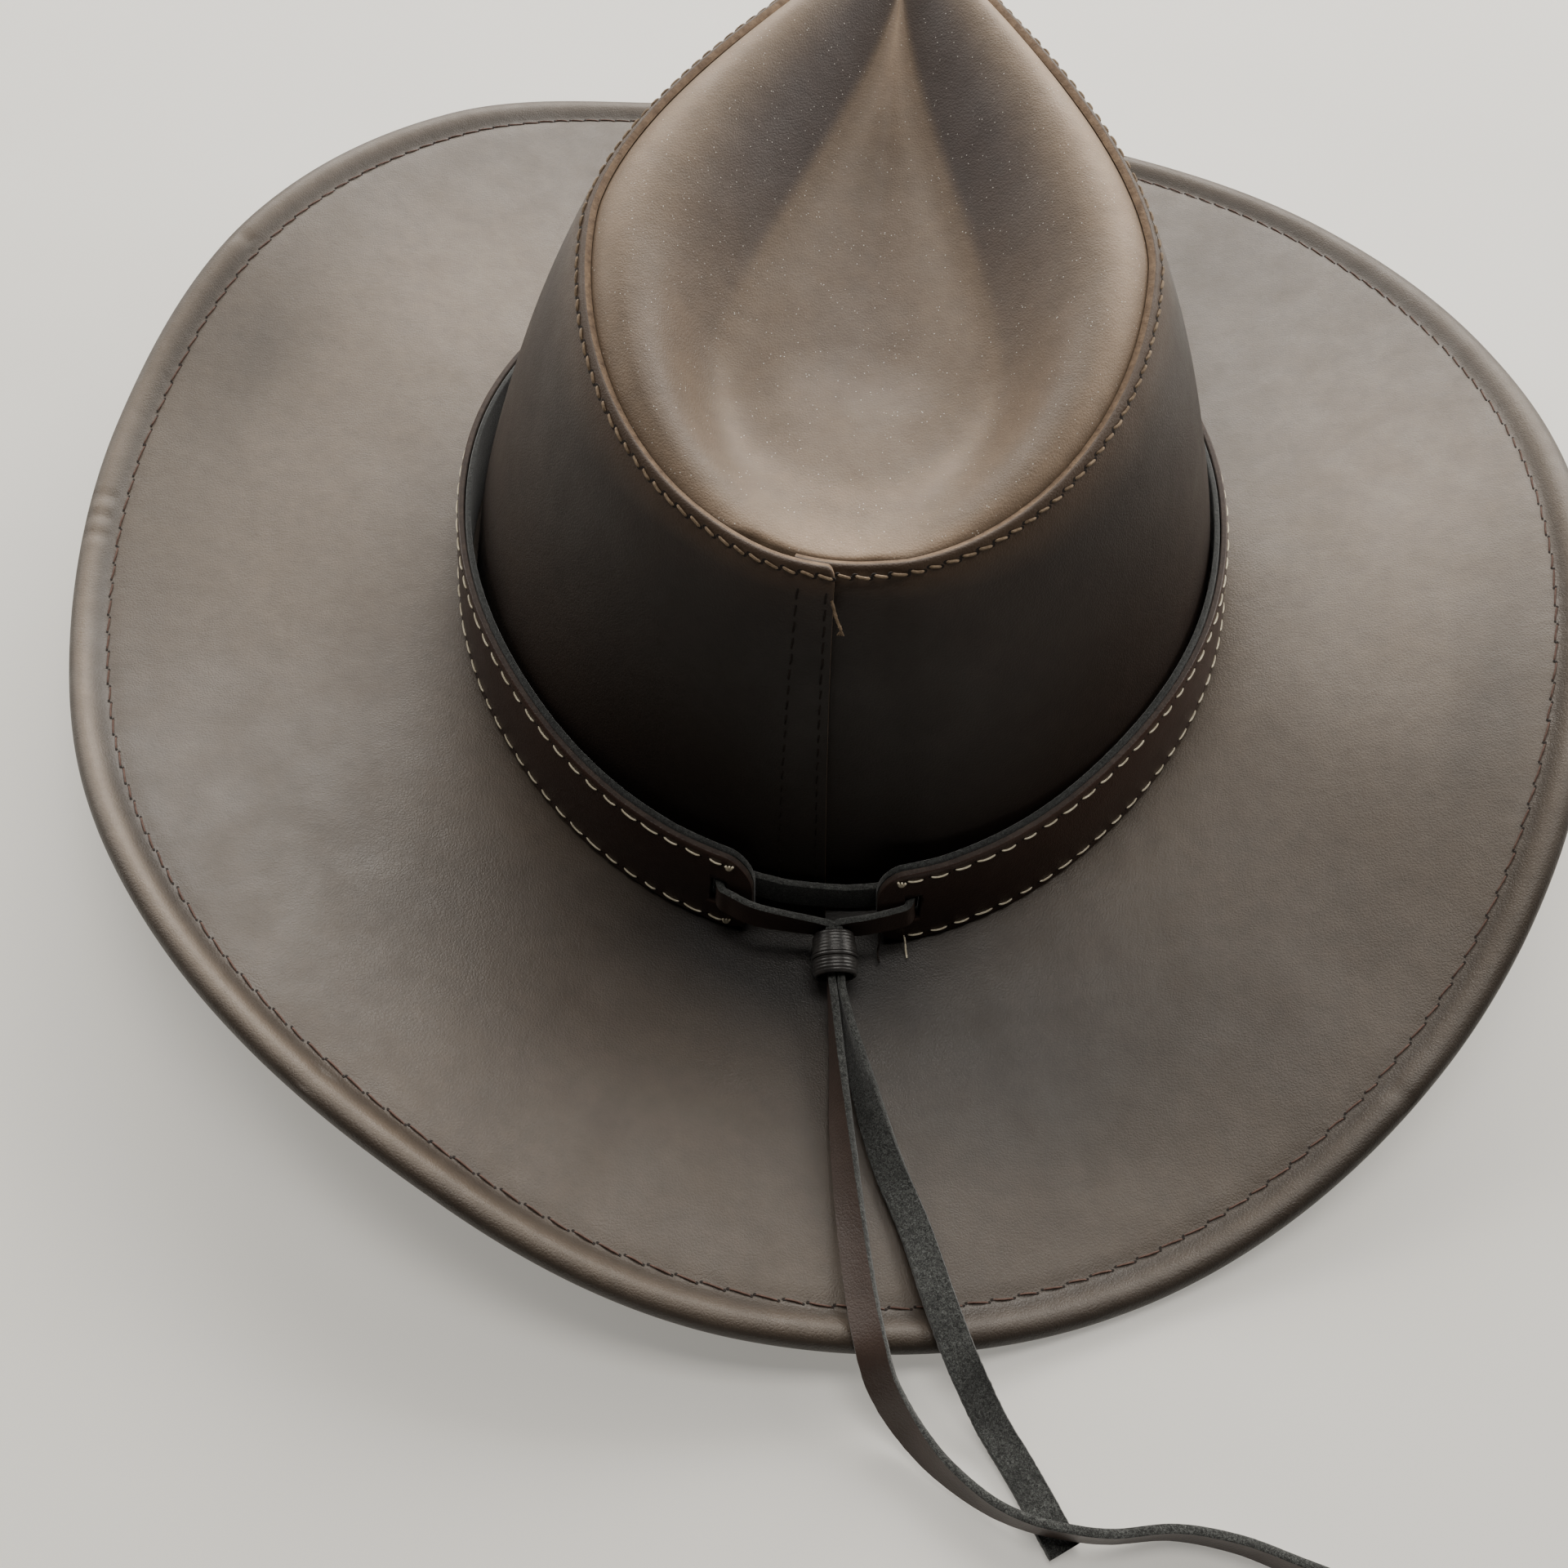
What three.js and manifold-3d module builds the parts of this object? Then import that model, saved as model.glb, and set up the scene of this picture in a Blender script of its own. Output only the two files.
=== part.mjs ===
// A leather cowboy hat: a stitched crown with a sunken teardrop tip, a brim with a rolled hem,
// and a two-layer hat band drawn together at the back by a flat lace with a slide bead.
// Millimetres. +X is the wearer's right, +Y the front, +Z up, and the hat stands on the plane z = 0.

import * as THREE from 'three';
import { mergeVertices } from 'three/addons/utils/BufferGeometryUtils.js';
import Module from 'manifold-3d';

const wasm = await Module();
wasm.setup();

// Driving sizes of the crown
const headWidth = 173; // outside of the crown where it meets the brim, side to side
const headLength = 196; // the same, front to back
const headEgg = 0.04; // how much narrower the front is than the back
const crownLeather = 2;
const seamHeight = 99.7; // raw top edge of the side panel over the floor, in the middle
const seamSlope = 0.214; // rise of that edge for each millimetre towards the front
const seamSag = 2; // how much higher it is at the sides
const tipWidth = 111.8;
const tipBack = 70.3; // from the tip's middle to the seam at the back
const tipFront = 82;
const tipMiddle = -1.2; // y of the widest place of the tip
const tipNose = 0.571; // how far the seam is drawn in towards the front point
const tipMargin = 0.06; // share of the side's height that the tip reaches down inside it
const lapWidth = 12; // overlap of the side panel's ends at the back
const lapAngle = 272; // where the outer end of the panel stops
const lapLean = 3; // degrees by which the lap leans over from its foot to its top
const lapFade = 2.4; // lap widths over which the panel's two ends ease back to the wall

// Driving sizes of the brim
const brimLeather = 2.2;
const brimWidth = 87; // from the crown to the edge
const brimStraight = 0.82; // share of the brim's rise that is straight, the rest bends up outwards
const sideRise = 14.2; // how much higher the brim joins the crown at the sides
const flatShare = 0.095; // share of the side rise that is pressed flat at the front and back
const hemWidth = 8;
const hemThick = 5.2;
const hemTurnUnder = 2; // how far the turned-under leather goes past the hem's stitch line
const hemFold = 0.82; // share of half the hem's thickness left at its stitch line underneath
const hemFoldEnd = 0.8; // the same where the turned-under leather stops
const hemFoldStep = 0.1;
const brimLip = 1; // how far the brim reaches in past the crown's wall
const settle = 0.3; // how much the leather is flattened where it rests
const brimTop = brimLeather - settle; // the brim's upper face over the floor, at the front and back

// Driving sizes of the band, the lace and the bead
const bandWidth = 20.6;
const bandFace = 1.4;
const bandLining = 1.2;
const bandOpening = 24.4; // between the two ends of the band
const bandMiddle = 270.9; // angle of the middle of that opening
const bandRound = 6; // length of the rounded ends
const bandEnd = 0.3; // share of its width that the band keeps at its very ends
const slotInset = 7; // from the end of the band to the middle of its slot
const slotClear = 1;
const laceWidth = 6.2;
const laceThick = 1.6;
const lacePinch = 0.8; // share of its width that the lace keeps inside the bead
const beadClear = 1; // how much wider the bore is than the lace
const beadWall = 1.3;
const beadLength = 9.2;
const beadBore = laceWidth + beadClear;
const beadDiameter = beadBore + 2 * beadWall;
const gap = 0.3; // between two pieces that touch
const crownSeat = 0.45; // between the brim and the foot of the crown
const laceEase = 0.8; // between the band and the lace that is threaded through it
const loopReach = 7; // how far past the bend at a slot the lace runs along the band
const loopAbove = 1.3; // how far above the bead the two strands part
const loopFan = 1.2; // share of their distance in the bead that the strands have there

// Resolution of the faceted walls
const segments = 60;
const noseSpread = 24; // degrees either side of the front with twice as many stations
const laceSteps = 80;
const tailSteps = 28;
const beadSides = 20;

const turn = Math.PI / 180;

// The brim by angle from the wearer's right: its width and how high its edge stands over the
// floor, both as shares of brimWidth
const brimWave = [
  { angle: 0, width: 0.948, rise: 0.491 },
  { angle: 22.5, width: 0.955, rise: 0.37 },
  { angle: 45, width: 0.959, rise: 0.226 },
  { angle: 67.5, width: 0.957, rise: 0.086 },
  { angle: 90, width: 0.966, rise: 0 },
  { angle: 112.5, width: 0.995, rise: 0.094 },
  { angle: 135, width: 1.031, rise: 0.306 },
  { angle: 157.5, width: 1.045, rise: 0.381 },
  { angle: 180, width: 1.034, rise: 0.277 },
  { angle: 202.5, width: 1.022, rise: 0.237 },
  { angle: 225, width: 1.032, rise: 0.335 },
  { angle: 247.5, width: 1.057, rise: 0.325 },
  { angle: 270, width: 1.069, rise: 0.115 },
  { angle: 292.5, width: 1.045, rise: 0 },
  { angle: 315, width: 0.997, rise: 0.182 },
  { angle: 337.5, width: 0.959, rise: 0.438 },
];

// How far the band stands off the crown, as shares of bandWidth
const bandStand = [
  { angle: 0, foot: 0.05, head: 0.04 },
  { angle: 22.5, foot: 0.06, head: 0.05 },
  { angle: 45, foot: 0.06, head: 0.05 },
  { angle: 67.5, foot: 0.06, head: 0.05 },
  { angle: 90, foot: 0.06, head: 0.05 },
  { angle: 112.5, foot: 0.06, head: 0.05 },
  { angle: 135, foot: 0.06, head: 0.06 },
  { angle: 157.5, foot: 0.06, head: 0.1 },
  { angle: 180, foot: 0.06, head: 0.15 },
  { angle: 202.5, foot: 0.06, head: 0.14 },
  { angle: 225, foot: 0.07, head: 0.09 },
  { angle: 247.5, foot: 0.16, head: 0.15 },
  { angle: 270, foot: 0.26, head: 0.24 },
  { angle: 292.5, foot: 0.15, head: 0.13 },
  { angle: 315, foot: 0.06, head: 0.05 },
  { angle: 337.5, foot: 0.06, head: 0.08 },
];

// The crown's side from foot to seam: up is the share of its height, inward the share of the way
// from the head oval to the seam
const sideProfile = [
  { up: 0, inward: 0 },
  { up: 0.22, inward: 0.12 },
  { up: 0.45, inward: 0.32 },
  { up: 0.7, inward: 0.58 },
  { up: 0.94, inward: 0.89 },
  { up: 1, inward: 1 },
];

// The rings of the tip from its crest to the floor of the hollow: half, back and front are shares
// of the tip's own half width, back and front, middle is a share of the back, nose is how far the
// ring is drawn in at the front, and the three rises are shares of the half width
const tipRings = [
  { half: 0.775, back: 0.83, front: 1.045, middle: -0.1, nose: 0.62, side: 0.09, rear: 0.06, fore: 0.02 },
  { half: 0.5, back: 0.5, front: 1.11, middle: -0.27, nose: 0.9, side: -0.22, rear: -0.07, fore: -0.04 },
  { half: 0.25, back: 0.25, front: 0.6, middle: -0.2, nose: 0.6, side: -0.25, rear: -0.16, fore: -0.23 },
];
const tipFloor = { along: -0.15, rise: -0.25 };
const ringSteps = [0, 0.5, 1, 1.33, 1.67, 2, 2.25, 2.5, 2.75, 3, 3.5, 4];

// The hem's section from the stitch line (0) to the edge (1), as shares of half the hem's thickness
const hemTop = [
  { along: 0.3, off: 0.85 },
  { along: 0.65, off: 1 },
  { along: 0.92, off: 0.6 },
  { along: 1, off: 0 },
];
const sheetStations = [0, 0.03, 0.28, 0.55, 0.78];

// The bead's outline from its upper mouth (0) to its lower one (1), radius as a share of its own
const beadProfile = [
  { along: 0, radius: 0.8 },
  { along: 0.06, radius: 0.87 },
  { along: 0.3, radius: 0.93 },
  { along: 0.48, radius: 0.95 },
  { along: 0.52, radius: 1 },
  { along: 0.58, radius: 1 },
  { along: 0.62, radius: 0.95 },
  { along: 0.94, radius: 0.9 },
  { along: 1, radius: 0.84 },
];

// Where the bead and the two free ends of the lace lie, measured from the middle of the crown.
// The roll is 0 where the lace lies flat and 90 where it stands on its edge.
const headBack = -headLength / 2;
const beadTop = new THREE.Vector3(7.6, headBack - 9, brimTop + 8.9);
const beadMouth = new THREE.Vector3(9, headBack - 18, brimTop + 7.3);
const tailLeft = [
  { x: 8.9, y: -120.5, z: 8.4, roll: 88 },
  { x: 11, y: -134, z: 8.9, roll: 76 },
  { x: 13.2, y: -149, z: 10.1, roll: 56 },
  { x: 16.2, y: -165, z: 11.1, roll: 42 },
  { x: 19.4, y: -180, z: 12.7, roll: 34 },
  { x: 21.9, y: -189, z: 13.5, roll: 31 },
  { x: 24.6, y: -194.6, z: 10.2, roll: 40 },
  { x: 29.6, y: -200, z: 5.6, roll: 54 },
  { x: 36, y: -205.6, z: 4.2, roll: 70 },
  { x: 44, y: -210.4, z: 4, roll: 82 },
  { x: 51, y: -212.9, z: 5, roll: 87 },
  { x: 58, y: -213.8, z: 5.6, roll: 88 },
  { x: 66, y: -213.5, z: 4.4, roll: 88 },
  { x: 77, y: -211.4, z: 3.4, roll: 86 },
  { x: 88, y: -212, z: 3.4, roll: 84 },
  { x: 98, y: -214.4, z: 3.4, roll: 82 },
  { x: 107, y: -216.6, z: 3.4, roll: 80 },
];
const tailRight = [
  { x: 10.9, y: -120.5, z: 8.4, roll: 88 },
  { x: 13.4, y: -129, z: 8.4, roll: 74 },
  { x: 18, y: -142, z: 8.2, roll: 44 },
  { x: 22.8, y: -154, z: 7.9, roll: 20 },
  { x: 28.8, y: -166, z: 8, roll: 6 },
  { x: 34, y: -179, z: 9.5, roll: 4 },
  { x: 38, y: -187.4, z: 8.8, roll: 4 },
  { x: 41.8, y: -193, z: 5.4, roll: 4 },
  { x: 45.6, y: -198, z: 2.2, roll: 2 },
  { x: 51, y: -205, z: 1.1, roll: 0 },
  { x: 58.6, y: -216.4, z: 1.1, roll: 0 },
];

// Curves and tables

function blend(a, b, t) {
  return a + (b - a) * t;
}

function ease(t) {
  const s = Math.min(Math.max(t, 0), 1);
  return s * s * (3 - 2 * s);
}

function spline(a, b, c, d, t) {
  return 0.5 * (2 * b + (c - a) * t + (2 * a - 5 * b + 4 * c - d) * t * t + (3 * b - a - 3 * c + d) * t * t * t);
}

// A column of a table whose rows go once round in equal steps
function around(table, column, angle) {
  const rows = table.length;
  const place = (((angle / 360) * rows) % rows + rows) % rows;
  const first = Math.floor(place);
  const row = (shift) => table[(first + shift + rows) % rows][column];
  return spline(row(-1), row(0), row(1), row(2), place - first);
}

// A smooth curve through one column of a table, over another column that rises from row to row
function through(table, over, column, value) {
  const last = table.length - 1;
  let i = 0;
  while (i < last - 1 && value > table[i + 1][over]) i++;
  const slope = (k) => {
    const a = table[Math.max(k - 1, 0)];
    const b = table[Math.min(k + 1, last)];
    return (b[column] - a[column]) / (b[over] - a[over]);
  };
  const run = table[i + 1][over] - table[i][over];
  const t = (value - table[i][over]) / run;
  const p = table[i][column];
  const q = table[i + 1][column];
  const h = t * t * (3 - 2 * t);
  return blend(p, q, h) + run * (slope(i) * t * (1 - t) * (1 - t) - slope(i + 1) * t * t * (1 - t));
}

// Closed solids from rings of points

function joinRings(index, a, b, count) {
  for (let k = 0; k < count; k++) {
    const m = (k + 1) % count;
    index.push(a + k, b + k, b + m, a + k, b + m, a + m);
  }
}

function signedVolume(position, index) {
  let total = 0;
  const at = (i) => new THREE.Vector3().fromArray(position, i * 3);
  for (let i = 0; i < index.length; i += 3) {
    total += at(index[i]).dot(at(index[i + 1]).cross(at(index[i + 2])));
  }
  return total;
}

function geometryFrom(points, index) {
  const position = points.flatMap((p) => [p.x, p.y, p.z]);
  if (signedVolume(position, index) < 0) index.reverse();
  const geometry = new THREE.BufferGeometry();
  geometry.setAttribute('position', new THREE.Float32BufferAttribute(position, 3));
  geometry.setIndex(index);
  geometry.computeVertexNormals();
  return geometry;
}

// A tube of sections that closes on itself
function hoop(rings) {
  const count = rings[0].length;
  const index = [];
  rings.forEach((ring, i) => joinRings(index, i * count, ((i + 1) % rings.length) * count, count));
  return geometryFrom(rings.flat(), index);
}

// A bar of sections with two ends. A section lists one side and then the other one backwards, so
// an end is closed by a ladder between the two sides.
function bar(rings) {
  const count = rings[0].length;
  const index = [];
  for (let i = 0; i + 1 < rings.length; i++) joinRings(index, i * count, (i + 1) * count, count);
  const end = (rings.length - 1) * count;
  for (let k = 0; k < count / 2 - 1; k++) {
    const far = count - 1 - k;
    index.push(k, k + 1, far - 1, k, far - 1, far);
    index.push(end + k, end + far - 1, end + k + 1, end + k, end + far, end + far - 1);
  }
  return geometryFrom(rings.flat(), index);
}

// A skin from one middle point over rings to another middle point
function dome(first, rings, last) {
  const count = rings[0].length;
  const index = [];
  const points = [first, ...rings.flat(), last];
  const end = points.length - 1;
  for (let k = 0; k < count; k++) {
    const m = (k + 1) % count;
    index.push(0, 1 + k, 1 + m);
    index.push(end, end - count + m, end - count + k);
  }
  for (let i = 0; i + 1 < rings.length; i++) joinRings(index, 1 + i * count, 1 + (i + 1) * count, count);
  return geometryFrom(points, index);
}

function solidOf(geometry) {
  const bare = new THREE.BufferGeometry();
  bare.setAttribute('position', geometry.getAttribute('position'));
  bare.setIndex(geometry.getIndex());
  const merged = mergeVertices(bare);
  const vertProperties = new Float32Array(merged.getAttribute('position').array);
  const triVerts = new Uint32Array(merged.getIndex().array);
  return new wasm.Manifold(new wasm.Mesh({ numProp: 3, vertProperties, triVerts }));
}

function geometryOf(solid) {
  const mesh = solid.getMesh();
  const geometry = new THREE.BufferGeometry();
  geometry.setAttribute('position', new THREE.Float32BufferAttribute(mesh.vertProperties, 3));
  geometry.setIndex(Array.from(mesh.triVerts));
  geometry.computeVertexNormals();
  return geometry;
}

function cut(geometry, cutters) {
  return geometryOf(cutters.reduce((solid, cutter) => solid.subtract(solidOf(cutter)), solidOf(geometry)));
}

// The head oval and the brim

function oval(angle, grow) {
  const c = Math.cos(angle * turn);
  const s = Math.sin(angle * turn);
  return new THREE.Vector3((headWidth / 2 + grow) * c * (1 - headEgg * s), (headLength / 2 + grow) * s, 0);
}

function outward(angle) {
  const c = Math.cos(angle * turn) / headWidth;
  const s = Math.sin(angle * turn) / headLength;
  return new THREE.Vector3(c, s, 0).normalize();
}

// Height of the brim's upper face where it meets the crown
function joinHeight(angle) {
  const side = (Math.cos(angle * turn) ** 2 - flatShare) / (1 - flatShare);
  return brimTop + sideRise * Math.max(side, 0);
}

// A point of the brim: reach is the distance from the crown, off the distance from the middle of
// the leather
function brimPoint(angle, reach, off) {
  const width = brimWidth * around(brimWave, 'width', angle);
  const low = joinHeight(angle) - brimLeather / 2;
  const high = hemThick / 2 - settle + brimWidth * Math.max(around(brimWave, 'rise', angle), 0);
  const rise = high - low;
  const run = Math.sqrt(width * width - rise * rise);
  const s = reach / width;
  const bend = 1 - brimStraight;
  const curve = s > 0 ? brimStraight * s + bend * s * s : 0;
  const slope = s > 0 ? (rise / run) * (brimStraight + 2 * bend * s) : 0;
  const tilt = Math.atan(slope);
  const across = (s > 0 ? run * s : reach) - off * Math.sin(tilt);
  const z = low + rise * curve + off * Math.cos(tilt);
  const point = oval(angle, 0).addScaledVector(outward(angle), across);
  return point.setZ(Math.max(z, 0));
}

function brimSection(angle) {
  const width = brimWidth * around(brimWave, 'width', angle);
  const stitch = width - hemWidth;
  const inner = -(crownLeather + brimLip);
  const sheet = brimLeather / 2;
  const half = hemThick / 2;
  const stations = [inner, ...sheetStations.map((share) => share * width)];
  const top = [...stations.map((reach) => [reach, sheet]), [stitch, sheet]];
  const hem = hemTop.map((row) => [stitch + row.along * hemWidth, row.off * half]);
  const under = hemTop.slice(0, -1).reverse().map((row) => [stitch + row.along * hemWidth, -row.off * half]);
  const turned = stitch - hemTurnUnder;
  const fold = [[stitch, -hemFold * half], [turned + hemFoldStep, -hemFoldEnd * half], [turned, -sheet]];
  const bottom = stations.map((reach) => [reach, -sheet]).reverse();
  return [...top, ...hem, ...under, ...fold, ...bottom].map(([reach, off]) => brimPoint(angle, reach, off));
}

function brim() {
  const angles = Array.from({ length: segments }, (_, i) => (i * 360) / segments);
  return hoop(angles.map(brimSection));
}

// The crown

function seamPoint(angle) {
  const c = Math.cos(angle * turn);
  const s = Math.sin(angle * turn);
  const x = (tipWidth / 2) * c * (1 - tipNose * Math.max(s, 0) ** 1.5);
  const y = tipMiddle + (s < 0 ? tipBack : tipFront) * s;
  return new THREE.Vector3(x, y, seamHeight + seamSlope * y + seamSag * c * c);
}

function crownFoot(angle) {
  return oval(angle, 0).setZ(joinHeight(angle) + crownSeat);
}

// The outer face of the side panel, up being the share of its height
function sidePoint(angle, up) {
  const lean = lapLean * (0.5 - up) * Math.cos(((angle - lapAngle) / 2) * turn) ** 2;
  const foot = crownFoot(angle + lean);
  const head = seamPoint(angle + lean);
  const inward = through(sideProfile, 'up', 'inward', up);
  return new THREE.Vector3(blend(foot.x, head.x, inward), blend(foot.y, head.y, inward), blend(foot.z, head.z, up));
}

// A surface moved along its own normal by depth, inwards where depth is positive. The normal is
// taken over the small steps du and dv.
function sunk(surface, u, v, depth, du, dv) {
  const a = surface(u + du, v).sub(surface(u - du, v));
  const b = surface(u, v + dv).sub(surface(u, v - dv));
  return surface(u, v).addScaledVector(a.cross(b).normalize(), -depth);
}

function lapDegrees() {
  return lapWidth / (headWidth / 2) / turn;
}

// How far the panel's hidden end dips inwards, by angle round the crown
function lapDip(angle) {
  const away = Math.abs((((angle - lapAngle + lapDegrees() / 2) % 360) + 540) % 360 - 180);
  return 0.5 * crownLeather * ease(lapFade - away / lapDegrees());
}

// The stations of the crown's walls, closer together round the narrow front
function crownAngles() {
  const even = Array.from({ length: segments }, (_, i) => (i * 360) / segments);
  const half = 180 / segments;
  const more = even.filter((angle) => Math.abs(angle + half - 90) < noseSpread).map((angle) => angle + half);
  return [...even, ...more].sort((a, b) => a - b);
}

function sideWall(angle, up, depth, out) {
  const point = sunk(sidePoint, angle, up, depth - out, 0.5, 0.01);
  return point.setZ(Math.max(point.z, crownFoot(angle).z));
}

function crownSide() {
  const lap = lapDegrees();
  const start = lapAngle - lap;
  const length = 360 + lap;
  const ups = [0, 0.2, 0.4, 0.6, 0.78, 1 - tipMargin, 1];
  const angles = crownAngles().flatMap((angle) => [angle, angle + 360, angle + 720]);
  const inside = angles.map((angle) => angle - start).filter((d) => d > 0.5 && d < length - 0.5);
  const sections = [];
  for (const along of [0, ...inside.sort((a, b) => a - b), length]) {
    const hidden = along < length / 2 ? lapDip(start + along) : 0;
    const shown = (0.5 * crownLeather + gap) * ease((along - length + (lapFade + 1) * lap) / (lapFade * lap));
    const out = shown - hidden;
    const angle = start + along;
    const outer = ups.map((up) => sideWall(angle, up, 0, out));
    const inner = ups.map((up) => sideWall(angle, up, crownLeather, out)).reverse();
    sections.push([...outer, ...inner]);
  }
  return bar(sections);
}

// A ring of the tip that a row of the table describes
function tipRing(row, angle) {
  const c = Math.cos(angle * turn);
  const s = Math.sin(angle * turn);
  const x = (tipWidth / 2) * row.half * c * (1 - row.nose * Math.max(s, 0) ** 1.5);
  const y = tipMiddle + tipBack * row.middle + (s < 0 ? tipBack * row.back : tipFront * row.front) * s;
  const ends = s < 0 ? row.rear : row.fore;
  const rise = (tipWidth / 2) * blend(row.side, ends, s ** 4);
  return new THREE.Vector3(x, y, seamHeight + seamSlope * y + seamSag * c * c + rise);
}

function tipMiddlePoint() {
  const y = tipMiddle + tipBack * tipFloor.along;
  return new THREE.Vector3(0, y, seamHeight + seamSlope * y + (tipWidth / 2) * tipFloor.rise);
}

// The outer face of the tip: 0 is the hidden margin's end, 1 the seam, then the rings, then the middle
function tipPoint(angle, place) {
  const under = crownLeather + gap + lapDip(angle);
  const knots = [
    sideWall(angle, 1 - tipMargin, under, 0),
    sideWall(angle, 1, under, 0),
    ...tipRings.map((row) => tipRing(row, angle)),
    tipMiddlePoint(),
  ];
  if (place < 1) return knots[0].lerp(knots[1], place);
  const last = knots.length - 1;
  const i = Math.min(Math.floor(place), last - 1);
  const knot = (k) => knots[Math.min(Math.max(k, 0), last)];
  const axis = (name) => spline(knot(i - 1)[name], knot(i)[name], knot(i + 1)[name], knot(i + 2)[name], place - i);
  return new THREE.Vector3(axis('x'), axis('y'), axis('z'));
}

function crownTip() {
  const angles = crownAngles();
  const outer = [...ringSteps].reverse().map((place) => angles.map((angle) => tipPoint(angle, place)));
  const inner = ringSteps.map((place) => angles.map((angle) => sunk(tipPoint, angle, place, crownLeather, 1.5, 0.06)));
  const middle = tipMiddlePoint();
  return dome(middle, [...outer, ...inner], middle.clone().setZ(middle.z - crownLeather));
}

// The band

function bandAngle(length) {
  return length / ((headWidth / 2) * (1 + headEgg)) / turn;
}

// A point of the band: up from 0 at its foot to 1 at its head, out from its inner face
function bandPoint(angle, up, out) {
  const thick = bandFace + bandLining + gap;
  const stand = bandWidth * blend(around(bandStand, 'foot', angle), around(bandStand, 'head', angle), up);
  const foot = crownFoot(angle);
  const wide = bandWidth * around(bandStand, 'foot', angle) + thick;
  const clear = Math.max(brimPoint(angle, wide, brimLeather / 2).z + gap - foot.z, 0);
  const tall = seamPoint(angle).z - foot.z;
  const share = (clear + up * bandWidth) / tall;
  return sidePoint(angle, share).addScaledVector(outward(angle), stand + out);
}

function bandLayer(inner, thick) {
  const half = bandAngle(bandOpening / 2);
  const start = bandMiddle + half;
  const length = 360 - 2 * half;
  const round = bandAngle(bandRound);
  const tips = [0, 0.06, 0.2, 0.5, 1].map((share) => share * round);
  const middles = segments - 4;
  const middle = Array.from({ length: middles }, (_, i) => blend(round, length - round, (i + 1) / (middles + 1)));
  const stations = [...tips, ...middle, ...tips.map((d) => length - d).reverse()];
  return bar(
    stations.map((along) => {
      const near = Math.min(along, length - along) / round;
      const tall = near < 1 ? blend(bandEnd, 1, Math.sqrt(1 - (1 - near) ** 2)) : 1;
      const foot = 0.5 - tall / 2;
      const angle = start + along;
      const point = (up, out) => bandPoint(angle, up, out);
      return [point(foot, inner), point(1 - foot, inner), point(1 - foot, inner + thick), point(foot, inner + thick)];
    }),
  );
}

function slotAngles() {
  const away = bandAngle(bandOpening / 2 + slotInset);
  return [bandMiddle - away, bandMiddle + away];
}

// A box that cuts the slot at an angle of the band
function slotCutter(angle) {
  const geometry = new THREE.BoxGeometry(laceThick + 2 * slotClear, 6 * (bandFace + bandLining), laceWidth + 2 * slotClear);
  const out = outward(angle);
  const place = bandPoint(angle, 0.5, (bandFace + bandLining) / 2);
  const turned = new THREE.Matrix4().makeBasis(new THREE.Vector3(out.y, -out.x, 0), out, new THREE.Vector3(0, 0, 1));
  return geometry.applyMatrix4(turned.setPosition(place));
}

// The lace

// The section of a flat lace at one point: a wide axis and a thin one across its run
function laceSection(point, wideAxis, thinAxis) {
  const axis = beadAxis();
  const past = point.clone().sub(beadTop).dot(axis);
  const outside = Math.max(-past, past - beadLength) / laceWidth;
  const near = point.distanceTo(beadTop) < 3 * beadLength;
  const width = laceWidth * (near ? blend(lacePinch, 1, ease(outside)) : 1);
  const corner = (w, t) =>
    point.clone().addScaledVector(wideAxis, (w * width) / 2).addScaledVector(thinAxis, (t * laceThick) / 2);
  return [corner(-1, -1), corner(1, -1), corner(1, 1), corner(-1, 1)];
}

function beadAxis() {
  return beadMouth.clone().sub(beadTop).normalize();
}

// The two strands run side by side through the bead
function strandShift(side) {
  const across = new THREE.Vector3(0, 0, 1).cross(beadAxis()).normalize();
  return across.multiplyScalar((side * (laceThick + gap)) / 2);
}

function loopPath() {
  const thick = bandFace + bandLining + gap;
  const clear = laceEase + laceThick / 2;
  const radius = (thick + 2 * clear) / 2;
  const half = (side) => {
    const angle = side < 0 ? slotAngles()[0] : slotAngles()[1];
    const out = outward(angle);
    const inwardRun = new THREE.Vector3(-side, 0, 0).addScaledVector(out, side * out.x).normalize();
    const slot = bandPoint(angle, 0.5, thick / 2);
    const bandUp = bandPoint(angle, 0.7, 0).sub(bandPoint(angle, 0.3, 0)).normalize();
    const place = (run, off) => slot.clone().addScaledVector(inwardRun, run).addScaledVector(out, off);
    const bend = [90, 50, 0, -50, -90].map((a) => place(radius * (1 - Math.cos(a * turn)), radius * Math.sin(a * turn)));
    const shift = strandShift(side);
    const inBead = beadTop.clone().lerp(beadMouth, 0.5).add(shift);
    const mouth = beadTop.clone().add(shift);
    const above = beadTop.clone().addScaledVector(beadAxis(), -loopAbove).add(shift.multiplyScalar(loopFan));
    const bridge = [0.75, 0.5, 0.25].map((share) => bandPoint(blend(bandMiddle, angle, share), 0.5, -clear));
    const points = [inBead, mouth, above, place(radius + loopReach, radius + laceEase), ...bend, ...bridge];
    return points.map((point, i) => ({ point, up: i < 3 ? new THREE.Vector3(0, 0, 1) : bandUp }));
  };
  return [...half(-1), ...half(1).reverse()];
}

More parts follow.
